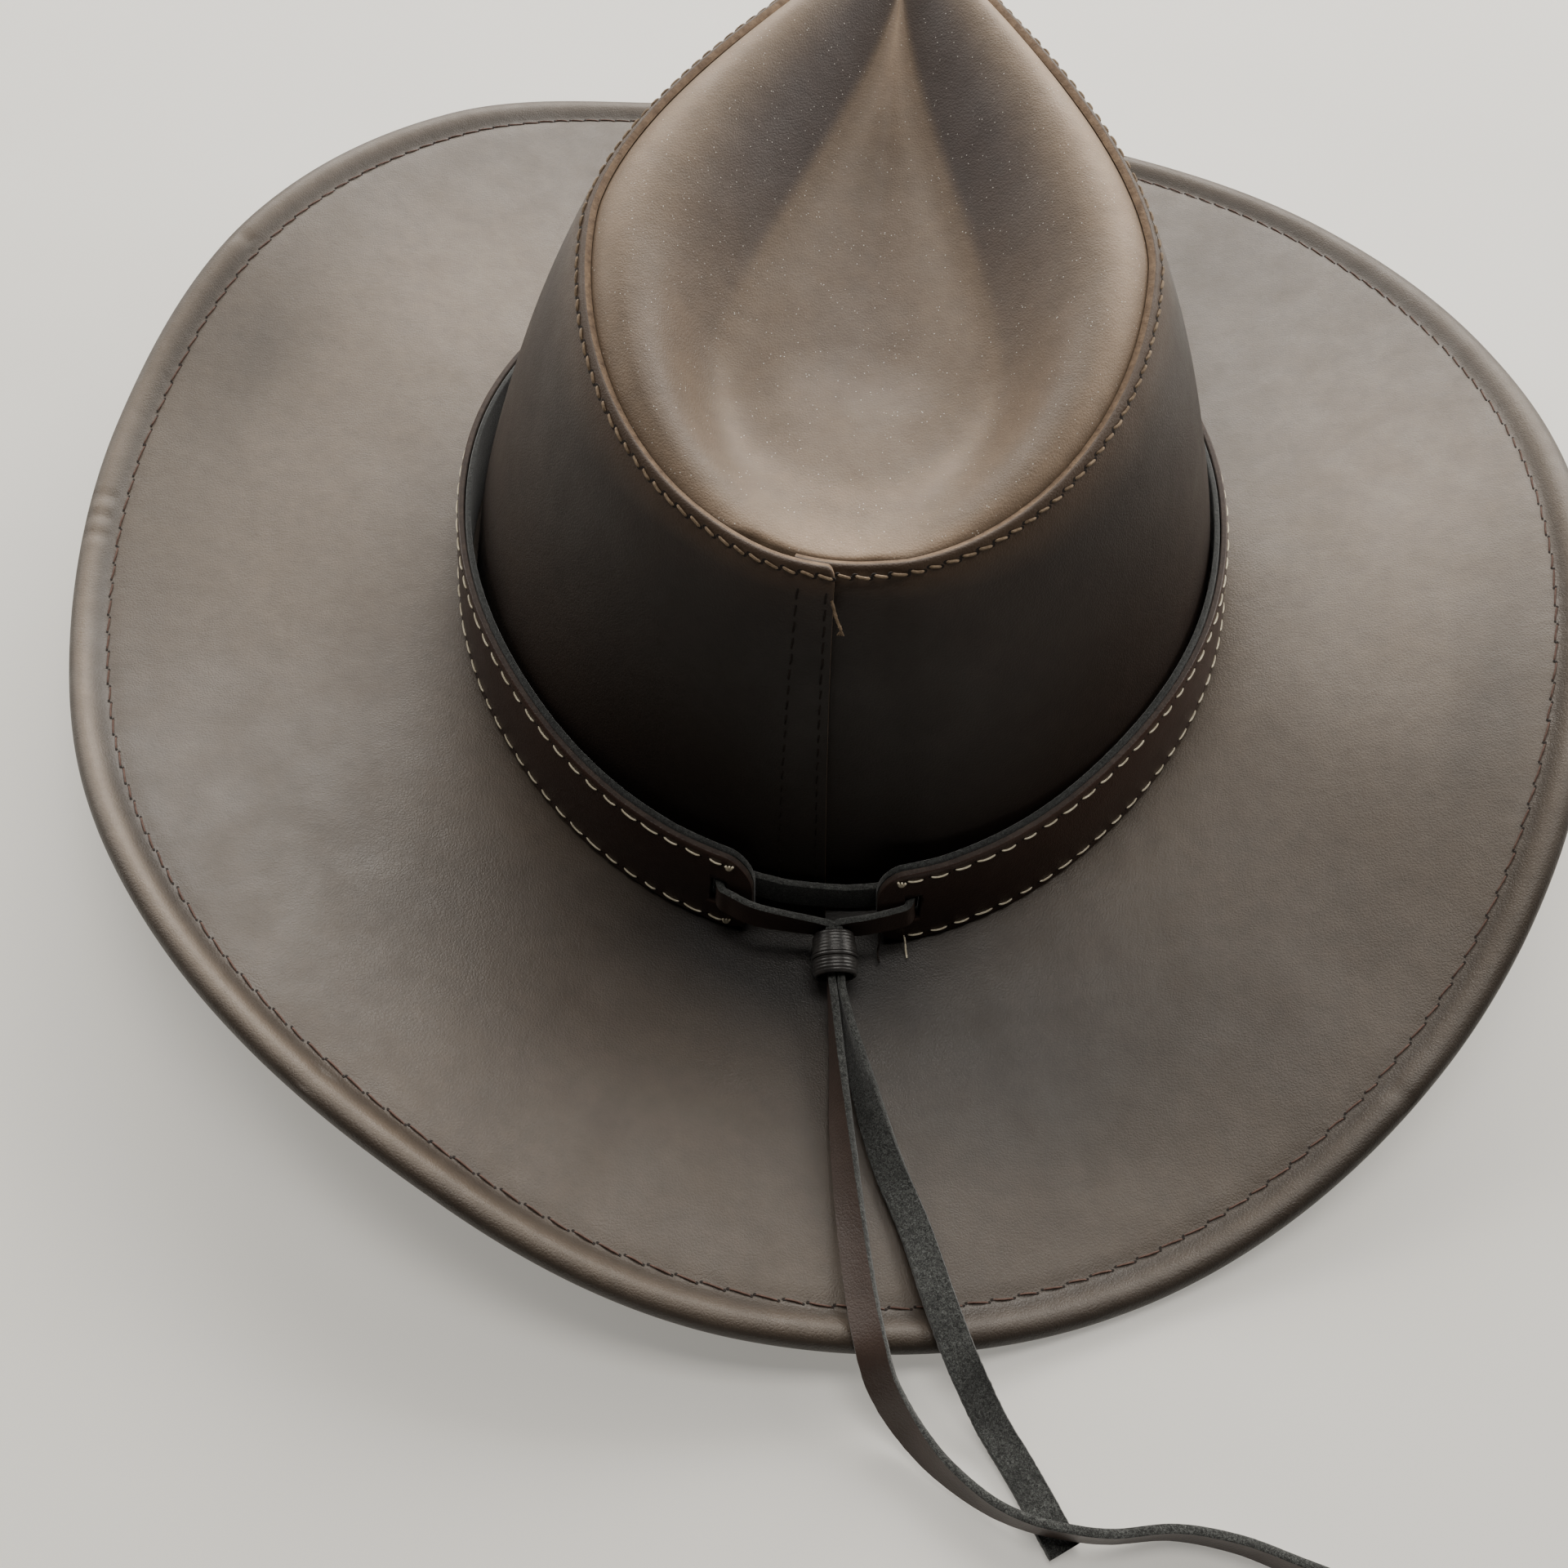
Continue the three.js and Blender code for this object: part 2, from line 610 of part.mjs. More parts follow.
function laceLoop() {
  const rows = loopPath();
  const path = new THREE.CatmullRomCurve3(rows.map((row) => row.point), false, 'centripetal');
  const sections = [];
  for (let i = 0; i <= laceSteps; i++) {
    const t = path.getUtoTmapping(i / laceSteps);
    const place = t * (rows.length - 1);
    const k = Math.min(Math.floor(place), rows.length - 2);
    const up = rows[k].up.clone().lerp(rows[k + 1].up, place - k);
    const run = path.getTangent(t);
    const thin = up.cross(run).normalize();
    sections.push(laceSection(path.getPoint(t), run.clone().cross(thin).normalize(), thin));
  }
  return bar(sections);
}

// A free end of the lace from inside the bead along the chosen points
function laceTail(side, rows) {
  const shift = strandShift(side);
  const start = beadTop.clone().lerp(beadMouth, 0.5).addScaledVector(beadAxis(), gap).add(shift);
  const mouth = beadMouth.clone().add(shift);
  const points = [start, mouth, ...rows.map((row) => new THREE.Vector3(row.x, row.y, row.z))];
  const rolls = [90, 90, ...rows.map((row) => row.roll)];
  const path = new THREE.CatmullRomCurve3(points, false, 'centripetal');
  const sections = [];
  for (let i = 0; i <= tailSteps; i++) {
    const t = path.getUtoTmapping(i / tailSteps);
    const place = t * (points.length - 1);
    const k = Math.min(Math.floor(place), points.length - 2);
    const roll = blend(rolls[k], rolls[k + 1], place - k) * turn;
    const run = path.getTangent(t);
    const flat = new THREE.Vector3(-run.y, run.x, 0).normalize();
    const up = run.clone().cross(flat).normalize();
    const wide = flat.clone().multiplyScalar(Math.cos(roll)).addScaledVector(up, Math.sin(roll));
    sections.push(laceSection(path.getPoint(t), wide, run.clone().cross(wide).normalize()));
  }
  return bar(sections);
}

function slideBead() {
  const bore = beadBore / 2;
  const outline = beadProfile.map((row) => new THREE.Vector2((row.radius * beadDiameter) / 2, row.along * beadLength));
  const profile = [new THREE.Vector2(bore, 0), ...outline, new THREE.Vector2(bore, beadLength), new THREE.Vector2(bore, 0)];
  return new THREE.LatheGeometry(profile, beadSides);
}

// The hat

const hat = new THREE.Group();

function add(name, geometry, colour, roughness) {
  const material = new THREE.MeshStandardMaterial({ color: colour, roughness, metalness: 0 });
  const mesh = new THREE.Mesh(geometry, material);
  mesh.name = name;
  hat.add(mesh);
  return mesh;
}

const brimMesh = add('brim', brim(), 0x6a5c54, 0.55);
add('crown_side', crownSide(), 0x3a2a24, 0.55);
add('crown_tip', crownTip(), 0x8a786c, 0.5);
const slots = slotAngles().map(slotCutter);
add('band_face', cut(bandLayer(bandLining + gap, bandFace), slots), 0x35201c, 0.45);
add('band_lining', cut(bandLayer(0, bandLining), slots), 0x2a2c2c, 0.9);
add('lace_loop', laceLoop(), 0x3c3530, 0.7);
const beadMesh = add('slide_bead', slideBead(), 0x2a2726, 0.4);
beadMesh.position.copy(beadTop);
beadMesh.quaternion.setFromUnitVectors(new THREE.Vector3(0, 1, 0), beadAxis());
add('lace_tail_left', laceTail(-1, tailLeft), 0x4a3a32, 0.6);
add('lace_tail_right', laceTail(1, tailRight), 0x4d504e, 0.9);

// The origin is under the middle of the brim's outline
const middle = new THREE.Box3().setFromObject(brimMesh).getCenter(new THREE.Vector3());
hat.position.set(-middle.x, -middle.y, 0);

export default hat;
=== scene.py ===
"""A leather cowboy hat resting on its brim, seen from behind and above."""

import bmesh
import bpy
import numpy as np
from mathutils import Matrix


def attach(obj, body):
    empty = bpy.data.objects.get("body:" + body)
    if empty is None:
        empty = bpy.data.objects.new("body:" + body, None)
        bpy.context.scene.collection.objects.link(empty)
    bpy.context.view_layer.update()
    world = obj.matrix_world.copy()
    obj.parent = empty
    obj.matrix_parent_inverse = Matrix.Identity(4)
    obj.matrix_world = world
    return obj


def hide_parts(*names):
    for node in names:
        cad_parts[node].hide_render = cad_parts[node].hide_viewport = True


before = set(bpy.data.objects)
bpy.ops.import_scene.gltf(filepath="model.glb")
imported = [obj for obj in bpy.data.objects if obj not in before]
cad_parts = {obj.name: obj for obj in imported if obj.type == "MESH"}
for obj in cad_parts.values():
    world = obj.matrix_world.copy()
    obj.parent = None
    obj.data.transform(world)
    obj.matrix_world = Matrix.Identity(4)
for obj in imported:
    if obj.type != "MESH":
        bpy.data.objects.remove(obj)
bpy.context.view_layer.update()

# Sizes in metres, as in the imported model
HEAD_WIDTH = 0.173
HEAD_LENGTH = 0.196
HEAD_EGG = 0.04
CROWN_LEATHER = 0.002
SEAM_HEIGHT = 0.0997
SEAM_SLOPE = 0.214
SEAM_SAG = 0.002
TIP_WIDTH = 0.1118
TIP_BACK = 0.0703
TIP_FRONT = 0.082
TIP_MIDDLE = -0.0012
TIP_MARGIN = 0.06
TIP_LEAN = 0.5
LAP_WIDTH = 0.012
LAP_ANGLE = 272
LAP_LEAN = 3

BRIM_LEATHER = 0.0022
BRIM_WIDTH = 0.087
SIDE_RISE = 0.0142
FLAT_SHARE = 0.095
HEM_WIDTH = 0.008
HEM_THICK = 0.0052
HEM_TURN_UNDER = 0.002
BRIM_LIP = 0.001
SETTLE = 0.0003

BAND_WIDTH = 0.0206
BAND_FACE = 0.0014
BAND_LINING = 0.0012
BAND_OPENING = 0.0244
BAND_MIDDLE = 270.9
BAND_ROUND = 0.006
SLOT_INSET = 0.007
SLOT_CLEAR = 0.001
LACE_WIDTH = 0.0062
LACE_THICK = 0.0016
LACE_PINCH = 0.8
BEAD_DIAMETER = 0.0098
BEAD_LENGTH = 0.0092
BEAD_BORE = 0.0072
GAP = 0.0003
BAND_THICK = BAND_FACE + BAND_LINING + GAP
LAP_LIFT = 0.5 * CROWN_LEATHER + GAP
CROWN_SEAT = 0.00045
LACE_EASE = 0.0008

# The camera: where it looks, from how far, and its turn about its own axis
VIEW_TARGET = np.array([-0.0071, -0.0645, 0.0])
VIEW_DISTANCE = 0.3578
VIEW_AZIMUTH = 3.71
VIEW_ELEVATION = 56.94
VIEW_ROLL = 3.14
FOCAL_SHARE = 1925 / 1920
SENSOR = 36

# Where the seams lie, the holes of their stitches, and the radii of the loose thread ends
TIP_STITCH_DROP = 0.0017
BAND_STITCH_INSET = 0.0018
BAND_STITCH_END = 0.0052
LAP_STITCH_INSETS = {"lap_stitches_near": 0.002, "lap_stitches_far": 0.0095}
LAP_CORNER = 0.0025
HOLE_DEPTH = 0.0004
HOLE_STAND = 0.00003
HOLE_LONG = 1.9
HOLE_WIDE = 1.35
STITCH_WANDER = 0.00006
KNOT_REACH = 0.0008
KNOT_THREAD = 0.00022
LAP_THREAD = 0.0003
LAP_FRAY = 0.00014
CREAM_END = 0.0002
DARK_END = 0.00022

turn = np.pi / 180


def named_rows(names, *rows):
    """The rows of a table, each as a dictionary with the same names."""
    return [dict(zip(names.split(), row)) for row in rows]


# What changes round the hat, by angle from the wearer's right: the brim's width and how high its edge
# stands over the floor, as shares of BRIM_WIDTH, and how far the band's foot and head stand off the
# crown, as shares of BAND_WIDTH
AROUND = named_rows(
    "angle width rise foot head",
    (0, 0.948, 0.491, 0.05, 0.04),
    (22.5, 0.955, 0.37, 0.06, 0.05),
    (45, 0.959, 0.226, 0.06, 0.05),
    (67.5, 0.957, 0.086, 0.06, 0.05),
    (90, 0.966, 0, 0.06, 0.05),
    (112.5, 0.995, 0.094, 0.06, 0.05),
    (135, 1.031, 0.306, 0.06, 0.06),
    (157.5, 1.045, 0.381, 0.06, 0.1),
    (180, 1.034, 0.277, 0.06, 0.15),
    (202.5, 1.022, 0.237, 0.06, 0.14),
    (225, 1.032, 0.335, 0.07, 0.09),
    (247.5, 1.057, 0.325, 0.16, 0.15),
    (270, 1.069, 0.115, 0.26, 0.24),
    (292.5, 1.045, 0, 0.15, 0.13),
    (315, 0.997, 0.182, 0.06, 0.05),
    (337.5, 0.959, 0.438, 0.06, 0.08),
)

# Painted light and shade on the brim: darker places, as the crown's shadow at the back and patches near
# the hem, and paler ones at the lit sides where dark is negative: the angle, the distance from the crown,
# how far the place spreads along and across, and how dark it is
BRIM_LIGHT_AND_SHADE = named_rows(
    "angle reach along across dark",
    (170, 0.067, 0.022, 0.009, 0.36),
    (342, 0.064, 0.028, 0.008, 0.34),
    (220, 0.08, 0.03, 0.006, 0.22),
    (294, 0.045, 0.04, 0.02, 0.3),
    (268, 0.006, 0.042, 0.025, 1.2),
    (238, 0.045, 0.04, 0.024, 0.3),
    (284, 0.045, 0.055, 0.035, 0.36),
    (188, 0.04, 0.055, 0.032, -0.42),
    (150, 0.035, 0.05, 0.04, -0.75),
    (2, 0.045, 0.06, 0.035, -0.72),
)

# How far the crown's side has leaned in at each height, both as shares of the way to the seam
SIDE_PROFILE = named_rows(
    "up inward",
    (0, 0),
    (0.22, 0.12),
    (0.45, 0.32),
    (0.7, 0.58),
    (0.94, 0.89),
    (1, 1),
)

# The tip's rings from its seam over the crest to the floor of the hollow. Half, back and front are a
# ring's reach as shares of TIP_WIDTH / 2, TIP_BACK and TIP_FRONT, and middle its shift as a share of
# TIP_BACK. Nose and neck narrow it to the front. Side, rear and fore are its height over the seam's
# plane as shares of TIP_WIDTH / 2
TIP_RINGS = named_rows(
    "half back front middle nose neck side rear fore",
    (1, 1, 1, 0, 0.571, 1.5, 0, 0, 0),
    (0.79, 0.84, 1.045, -0.1, 0.62, 1.5, 0.075, -0.034, 0.02),
    (0.5, 0.5, 1.11, -0.27, 0.99, 1.3, -0.22, -0.085, -0.04),
    (0.25, 0.25, 0.6, -0.2, 0.6, 1.5, -0.25, -0.165, -0.23),
)
TIP_FLOOR = {"along": -0.15, "rise": -0.25}

# The bead's outline from its upper mouth (0) to its lower one (1), radius as a share of the widest
BEAD_PROFILE = named_rows(
    "along radius",
    (0, 0.8),
    (0.03, 0.85),
    (0.1, 0.88),
    (0.3, 0.93),
    (0.5, 0.955),
    (0.515, 0.93),
    (0.53, 0.99),
    (0.565, 1),
    (0.6, 0.985),
    (0.615, 0.93),
    (0.64, 0.95),
    (0.85, 0.925),
    (0.94, 0.9),
    (0.985, 0.875),
    (1, 0.84),
)

# Where the bead and the free ends of the lace lie, measured from the middle of the crown: x, y, z
# and the roll, 0 where the lace lies flat and 90 where it stands on its edge
BEAD_TOP = np.array([0.0076, -0.107, 0.0108])
BEAD_MOUTH = np.array([0.009, -0.116, 0.0092])
TAIL_LEFT = [
    (0.0089, -0.1205, 0.0084, 88),
    (0.011, -0.134, 0.0089, 76),
    (0.0132, -0.149, 0.0101, 56),
    (0.0162, -0.165, 0.0111, 42),
    (0.0194, -0.18, 0.0127, 34),
    (0.0219, -0.189, 0.0135, 31),
    (0.0246, -0.1946, 0.0102, 40),
    (0.0296, -0.2, 0.0056, 54),
    (0.036, -0.2056, 0.0042, 70),
    (0.044, -0.2104, 0.004, 82),
    (0.051, -0.2129, 0.005, 87),
    (0.058, -0.2138, 0.0056, 88),
    (0.066, -0.2135, 0.0044, 88),
    (0.077, -0.2114, 0.0034, 86),
    (0.088, -0.212, 0.0034, 84),
    (0.098, -0.2144, 0.0034, 82),
    (0.107, -0.2166, 0.0034, 80),
]
TAIL_RIGHT = [
    (0.0109, -0.1205, 0.0084, 88),
    (0.0134, -0.129, 0.0084, 74),
    (0.018, -0.142, 0.0082, 44),
    (0.0228, -0.154, 0.0079, 20),
    (0.0288, -0.166, 0.008, 6),
    (0.034, -0.179, 0.0095, 4),
    (0.038, -0.1874, 0.0088, 4),
    (0.0418, -0.193, 0.0054, 4),
    (0.0456, -0.198, 0.0022, 2),
    (0.051, -0.205, 0.0011, 0),
    (0.0586, -0.2164, 0.0011, 0),
]

# Each seam: the pitch of its stitches, the share of it that shows, the thread's radius, how far a
# stitch stands off the leather, and its slant and bow sideways
seam_rows = named_rows(
    "seam pitch share radius lift slant bow",
    ("hem", 0.005, 0.84, 0.00018, 0.00012, 0.00022, 0),
    ("tip", 0.00335, 0.8, 0.00029, 0.0002, 0.00028, 0),
    ("lap", 0.0034, 0.72, 0.000224, 0.00008, 0.0001, 0),
    ("band", 0.0052, 0.76, 0.00021, 0.00016, 0.00015, 0.0003),
)
SEAMS = {row["seam"]: row for row in seam_rows}

# The loose thread at the lap: degrees past the lap's end, share of the height, distance out
LAP_END = named_rows(
    "angle up out",
    (-0.3, 0.935, 0.0012),
    (0.15, 0.92, 0.0016),
    (0.7, 0.9, 0.0021),
    (1.5, 0.88, 0.0028),
)

# How the thread ends at the band fall from where they come out
CREAM_DROPS = ([0.0003, -0.0012, 0.0002], [0.0007, -0.0028, -0.0009], [0.0011, -0.0046, -0.0012])
DARK_DROPS = ([0.0002, -0.0016, -0.0012], [0.0001, -0.0036, -0.0026], [0.0006, -0.0058, -0.0026])

# Wrinkles in the hem: the angle, how many degrees wide and how deep
HEM_WRINKLES = named_rows(
    "angle wide deep",
    (187.5, 1.1, 0.0004),
    (189.4, 0.8, 0.0005),
    (191.2, 0.9, 0.0004),
    (160, 1.6, 0.0003),
    (243, 1.5, 0.0003),
    (312, 1.4, 0.0003),
)

# How much the brim curves up, where the hem is fullest and how thick its turned edge is, as shares
BRIM_BOW = 0.18
HEM_FULL = 0.62
HEM_UNDER = 0.82

# The groove along the hem's stitches, with about one dimple to a stitch
HEM_GROOVE = 0.00011
HEM_GROOVE_WIDTH = 0.0011
HEM_DIMPLE = 0.00006
HEM_DIMPLES = 224

# How far the side panel's upper edge is rounded off, in its last two rows
SIDE_ROUND = [-0.00014, -0.0005]

# Fine shape of the lace and the bead
LACE_ROUGH = 0.00003
LACE_CUP = 0.00012
BEAD_LINES = 13
BEAD_LIP = 0.0002

# The light and the floor
WARM_LIGHT = (1.0, 0.965, 0.905)
FLOOR_REACH = 4.0
FLOOR_HEIGHT = -0.0002


# Curves and tables, with angles in degrees


def column(table, name):
    return np.array([row[name] for row in table], float)


def spline(a, b, c, d, t):
    return 0.5 * (2 * b + (c - a) * t + (2 * a - 5 * b + 4 * c - d) * t**2 + (3 * b - a - 3 * c + d) * t**3)


def ease(t):
    s = np.clip(t, 0, 1)
    return s * s * (3 - 2 * s)


def around(name, angle):
    """A smooth curve through a column of AROUND, whose rows go once round in equal steps."""
    values = column(AROUND, name)
    rows = len(values)
    place = np.mod(np.asarray(angle, float) / 360 * rows, rows)
    first = np.floor(place).astype(int)
    pick = [values[(first + shift) % rows] for shift in (-1, 0, 1, 2)]
    return spline(*pick, place - first)


def through(x, y, value):
    """A smooth curve through points whose x rises."""
    before = np.maximum(np.arange(len(x)) - 1, 0)
    after = np.minimum(np.arange(len(x)) + 1, len(x) - 1)
    slope = (y[after] - y[before]) / (x[after] - x[before])
    i = np.clip(np.searchsorted(x, value, side="right") - 1, 0, len(x) - 2)
    run = x[i + 1] - x[i]
    t = (value - x[i]) / run
    h = t * t * (3 - 2 * t)
    bend = run * (slope[i] * t * (1 - t) ** 2 - slope[i + 1] * t * t * (1 - t))
    return y[i] + (y[i + 1] - y[i]) * h + bend


def cos(angle):
    return np.cos(angle * turn)


def sin(angle):
    return np.sin(angle * turn)


def point(x, y, z):
    return np.stack(np.broadcast_arrays(x, y, z), -1).astype(float)


def unit(v):
    return v / np.maximum(np.linalg.norm(v, axis=-1, keepdims=True), 1e-12)


def direction(path):
    return unit(np.gradient(path, axis=0))


def measured(path):
    """How far along a path each of its points lies."""
    return np.concatenate([[0], np.cumsum(np.linalg.norm(np.diff(path[:, :3], axis=0), axis=1))])


def circle(count):
    return np.linspace(0, 2 * np.pi, count, endpoint=False)


def hill(value, top, width):
    """1 where the value is at the top, falling off smoothly over the width on both sides."""
    return np.exp(-(((value - top) / width) ** 2))


def turned_from(angle, middle):
    """How far an angle is from a middle one, from -180 to 180."""
    return np.mod(angle - middle + 180, 360) - 180


def smooth_path(points, steps):
    """Points evenly spaced along a smooth curve through the given ones, any number of columns."""
    p = np.asarray(points, float)
    ends = np.vstack([2 * p[0] - p[1], p, 2 * p[-1] - p[-2]])
    fine = []
    for i in range(len(p) - 1):
        t = np.linspace(0, 1, 24, endpoint=False)[:, None]
        fine.append(spline(ends[i], ends[i + 1], ends[i + 2], ends[i + 3], t))
    fine = np.vstack(fine + [p[-1:]])
    length = measured(fine)
    at = np.linspace(0, length[-1], steps + 1)
    return np.stack([np.interp(at, length, fine[:, k]) for k in range(p.shape[1])], -1), length[-1]


# The hat's surfaces, measured from the middle of the crown


def oval(angle):
    s = sin(angle)
    return point(HEAD_WIDTH / 2 * cos(angle) * (1 - HEAD_EGG * s), HEAD_LENGTH / 2 * s, 0.0)


def outward(angle):
    return unit(point(cos(angle) / HEAD_WIDTH, sin(angle) / HEAD_LENGTH, 0.0))


def join_height(angle):
    side = (cos(angle) ** 2 - FLAT_SHARE) / (1 - FLAT_SHARE)
    return BRIM_LEATHER - SETTLE + SIDE_RISE * np.maximum(side, 0)


def brim_width(angle):
    return BRIM_WIDTH * around("width", angle)


def brim_point(angle, reach, off):
    """A point of the brim, reach from the crown and off the middle of the leather."""
    angle, reach, off = np.broadcast_arrays(angle, reach, off)
    width = brim_width(angle)
    low = join_height(angle) - BRIM_LEATHER / 2
    high = HEM_THICK / 2 - SETTLE + BRIM_WIDTH * np.maximum(around("rise", angle), 0)
    rise = high - low
    run = np.sqrt(width**2 - rise**2)
    s = reach / width
    inside = s <= 0
    curve = np.where(inside, 0, (1 - BRIM_BOW) * s + BRIM_BOW * s * s)
    tilt = np.where(inside, 0, np.arctan(rise / run * (1 - BRIM_BOW + 2 * BRIM_BOW * s)))
    across = np.where(inside, reach, run * s) - off * np.sin(tilt)
    z = low + rise * curve + off * np.cos(tilt)
    p = oval(angle) + outward(angle) * across[..., None]
    p[..., 2] = np.maximum(z, 0)
    return p


def tip_ring(row, angle):
    c = cos(angle)
    s = sin(angle)
    x = TIP_WIDTH / 2 * row["half"] * c * (1 - row["nose"] * np.maximum(s, 0) ** row["neck"])
    long = np.where(s < 0, TIP_BACK * row["back"], TIP_FRONT * row["front"])
    y = TIP_MIDDLE + TIP_BACK * row["middle"] + long * s
    ends = np.where(s < 0, row["rear"], row["fore"])
    reach = np.where(s < 0, s**2, s**4)
    rise = TIP_WIDTH / 2 * (row["side"] + (ends - row["side"]) * reach)
    return point(x, y, SEAM_HEIGHT + SEAM_SLOPE * y + SEAM_SAG * c * c + rise)


def seam_point(angle):
    return tip_ring(TIP_RINGS[0], angle)


def crown_foot(angle):
    p = oval(angle)
    p[..., 2] = join_height(angle) + CROWN_SEAT
    return p


def side_point(angle, up):
    """The outer face of the side panel, up being the share of its height."""
    angle, up = np.broadcast_arrays(angle, up)
    lean = LAP_LEAN * (0.5 - up) * cos((angle - LAP_ANGLE) / 2) ** 2
    foot = crown_foot(angle + lean)
    head = seam_point(angle + lean)
    inward = through(column(SIDE_PROFILE, "up"), column(SIDE_PROFILE, "inward"), up)[..., None]
    p = foot + (head - foot) * inward
    p[..., 2] = foot[..., 2] + (head[..., 2] - foot[..., 2]) * up
    return p


def normals_of(surface, angle, place, turned, moved):
    """A surface's normals, from small steps in the angle and the place that it is given by."""
    a = surface(angle + turned, place) - surface(angle - turned, place)
    b = surface(angle, place + moved) - surface(angle, place - moved)
    return unit(np.cross(a, b))


def side_normal(angle, up):
    return normals_of(side_point, angle, up, 0.5, 0.01)


def side_wall(angle, up, out):
    """The side panel's face moved outwards by out."""
    angle, up, out = np.broadcast_arrays(angle, up, out)
    p = side_point(angle, up) + side_normal(angle, up) * out[..., None]
    p[..., 2] = np.maximum(p[..., 2], crown_foot(angle)[..., 2])
    return p


def side_degrees(length):
    """The turn round the crown that a length at its back takes up."""
    return length / (HEAD_WIDTH / 2) / turn


def lap_dip(angle):
    """How far the leather under the lap bends in."""
    lap = side_degrees(LAP_WIDTH)
    away = np.abs(turned_from(angle, LAP_ANGLE - lap / 2))
    return 0.5 * CROWN_LEATHER * ease(2.4 - away / lap)


def lap_rise(to_end):
    """How far the upper layer of the lap stands out, by the degrees left to its end."""
    lap = side_degrees(LAP_WIDTH)
    return LAP_LIFT * ease((3.4 * lap - to_end) / (2.4 * lap))


def tip_surface(angles, places):
    """The tip's outer face: 0 is its hidden margin, 1 the seam, then the rings and the middle."""
    under = CROWN_LEATHER + 0.3 * GAP + lap_dip(angles)
    y = TIP_MIDDLE + TIP_BACK * TIP_FLOOR["along"]
    middle = np.array([0, y, SEAM_HEIGHT + SEAM_SLOPE * y + TIP_WIDTH / 2 * TIP_FLOOR["rise"]])
    knots = [side_wall(angles, 1 - TIP_MARGIN, -under), side_wall(angles, 1.0, -under)]
    knots += [tip_ring(row, angles) for row in TIP_RINGS[1:]]
    knots += [np.broadcast_to(middle, knots[0].shape), tip_ring(TIP_RINGS[-1], angles + 180)]
    rows = []
    for place in places:
        i = min(int(place), 4)
        t = place - i
        if i == 0:
            rows.append(knots[0] + (knots[1] - knots[0]) * t)
        elif i == 1:
            across = (1 - TIP_LEAN) * (1 - np.cos(t * np.pi / 2)) + TIP_LEAN * t
            turned = np.array([across, across, np.sin(t * np.pi / 2)])
            rows.append(knots[1] + (knots[2] - knots[1]) * turned)
        else:
            rows.append(spline(knots[i - 1], knots[i], knots[i + 1], knots[i + 2], t))
    return np.stack(rows, 1)


def soften(rows, reach):
    """Rounds a surface along its second axis, leaving both ends where they are."""
    count = rows.shape[1]
    kernel = np.exp(-0.5 * (np.arange(-3 * reach, 3 * reach + 1) / reach) ** 2)
    kernel /= kernel.sum()
    pad = 3 * reach
    before = 2 * rows[:, :1] - rows[:, pad:0:-1]
    after = 2 * rows[:, -1:] - rows[:, -2 : -2 - pad : -1]
    long = np.concatenate([before, rows, after], 1)
    return sum(k * long[:, i : i + count] for i, k in enumerate(kernel))


def band_angle(length):
    return length / (HEAD_WIDTH / 2 * (1 + HEAD_EGG)) / turn


def band_point(angle, up, out):
    """A point of the band: up from 0 at its foot to 1 at its head, out from its inner face."""
    angle, up, out = np.broadcast_arrays(angle, up, out)
    low = around("foot", angle)
    head = around("head", angle)
    stand = BAND_WIDTH * (low + (head - low) * up)
    foot = crown_foot(angle)
    wide = BAND_WIDTH * low + BAND_THICK
    clear = np.maximum(brim_point(angle, wide, BRIM_LEATHER / 2)[..., 2] + GAP - foot[..., 2], 0)
    tall = seam_point(angle)[..., 2] - foot[..., 2]
    share = (clear + up * BAND_WIDTH) / tall
    return side_point(angle, share) + outward(angle) * (stand + out)[..., None]


# Where the middle of the crown stands in the frame: the brim's outline is centred on its origin
steps = np.arange(0, 360, 6)
outline = brim_point(steps, brim_width(steps), 0.0)
SHIFT = -(outline.max(0) + outline.min(0)) / 2 * np.array([1, 1, 0])


# Meshes


def quads(rows, columns, wrap_rows=False, wrap_columns=False):
    i = np.arange(rows if wrap_rows else rows - 1)[:, None]
    k = np.arange(columns if wrap_columns else columns - 1)[None, :]
    a = i * columns + k
    b = (i + 1) % rows * columns + k
    c = (i + 1) % rows * columns + (k + 1) % columns
    d = i * columns + (k + 1) % columns
    return np.stack([a, b, c, d], -1).reshape(-1, 4).tolist()


def strip_faces(rows, count, bare):
    """Faces of a strip whose sections run up its front and down its back, the bare ones material 1."""
    faces = quads(rows, count, wrap_columns=True)
    slots = np.zeros(len(faces), int)
    for k in bare:
        slots[k::count] = 1
    ends = []
    for ring in (0, (rows - 1) * count):
        for k in range(count // 2 - 1):
            ends.append([ring + k, ring + k + 1, ring + count - 2 - k, ring + count - 1 - k])
    return faces + ends, np.append(slots, np.ones(len(ends), int))


def add_object(name, data):
    made = bpy.data.objects.new(name, data)
    bpy.context.scene.collection.objects.link(made)
    return made


def piece(name, points, faces, materials, slots=None, tone=None, sharp=50):
    """A piece of the hat: its points are measured from the middle of the crown."""
    mesh = bpy.data.meshes.new(name)
    mesh.from_pydata((np.reshape(points, (-1, 3)) + SHIFT).tolist(), [], faces)
    for material in materials:
        mesh.materials.append(material)
    if slots is not None:
        mesh.polygons.foreach_set("material_index", np.asarray(slots, dtype=np.int32))
    attribute = mesh.attributes.new("tone", "FLOAT", "POINT")
    values = np.zeros(len(mesh.vertices)) if tone is None else np.ravel(tone)
    attribute.data.foreach_set("value", values.astype(np.float32))
    solid = bmesh.new()
    solid.from_mesh(mesh)
    bmesh.ops.recalc_face_normals(solid, faces=solid.faces)
    solid.to_mesh(mesh)
    solid.free()
    mesh.shade_smooth()
    mesh.set_sharp_from_angle(angle=sharp * turn)
    return add_object(name, mesh)


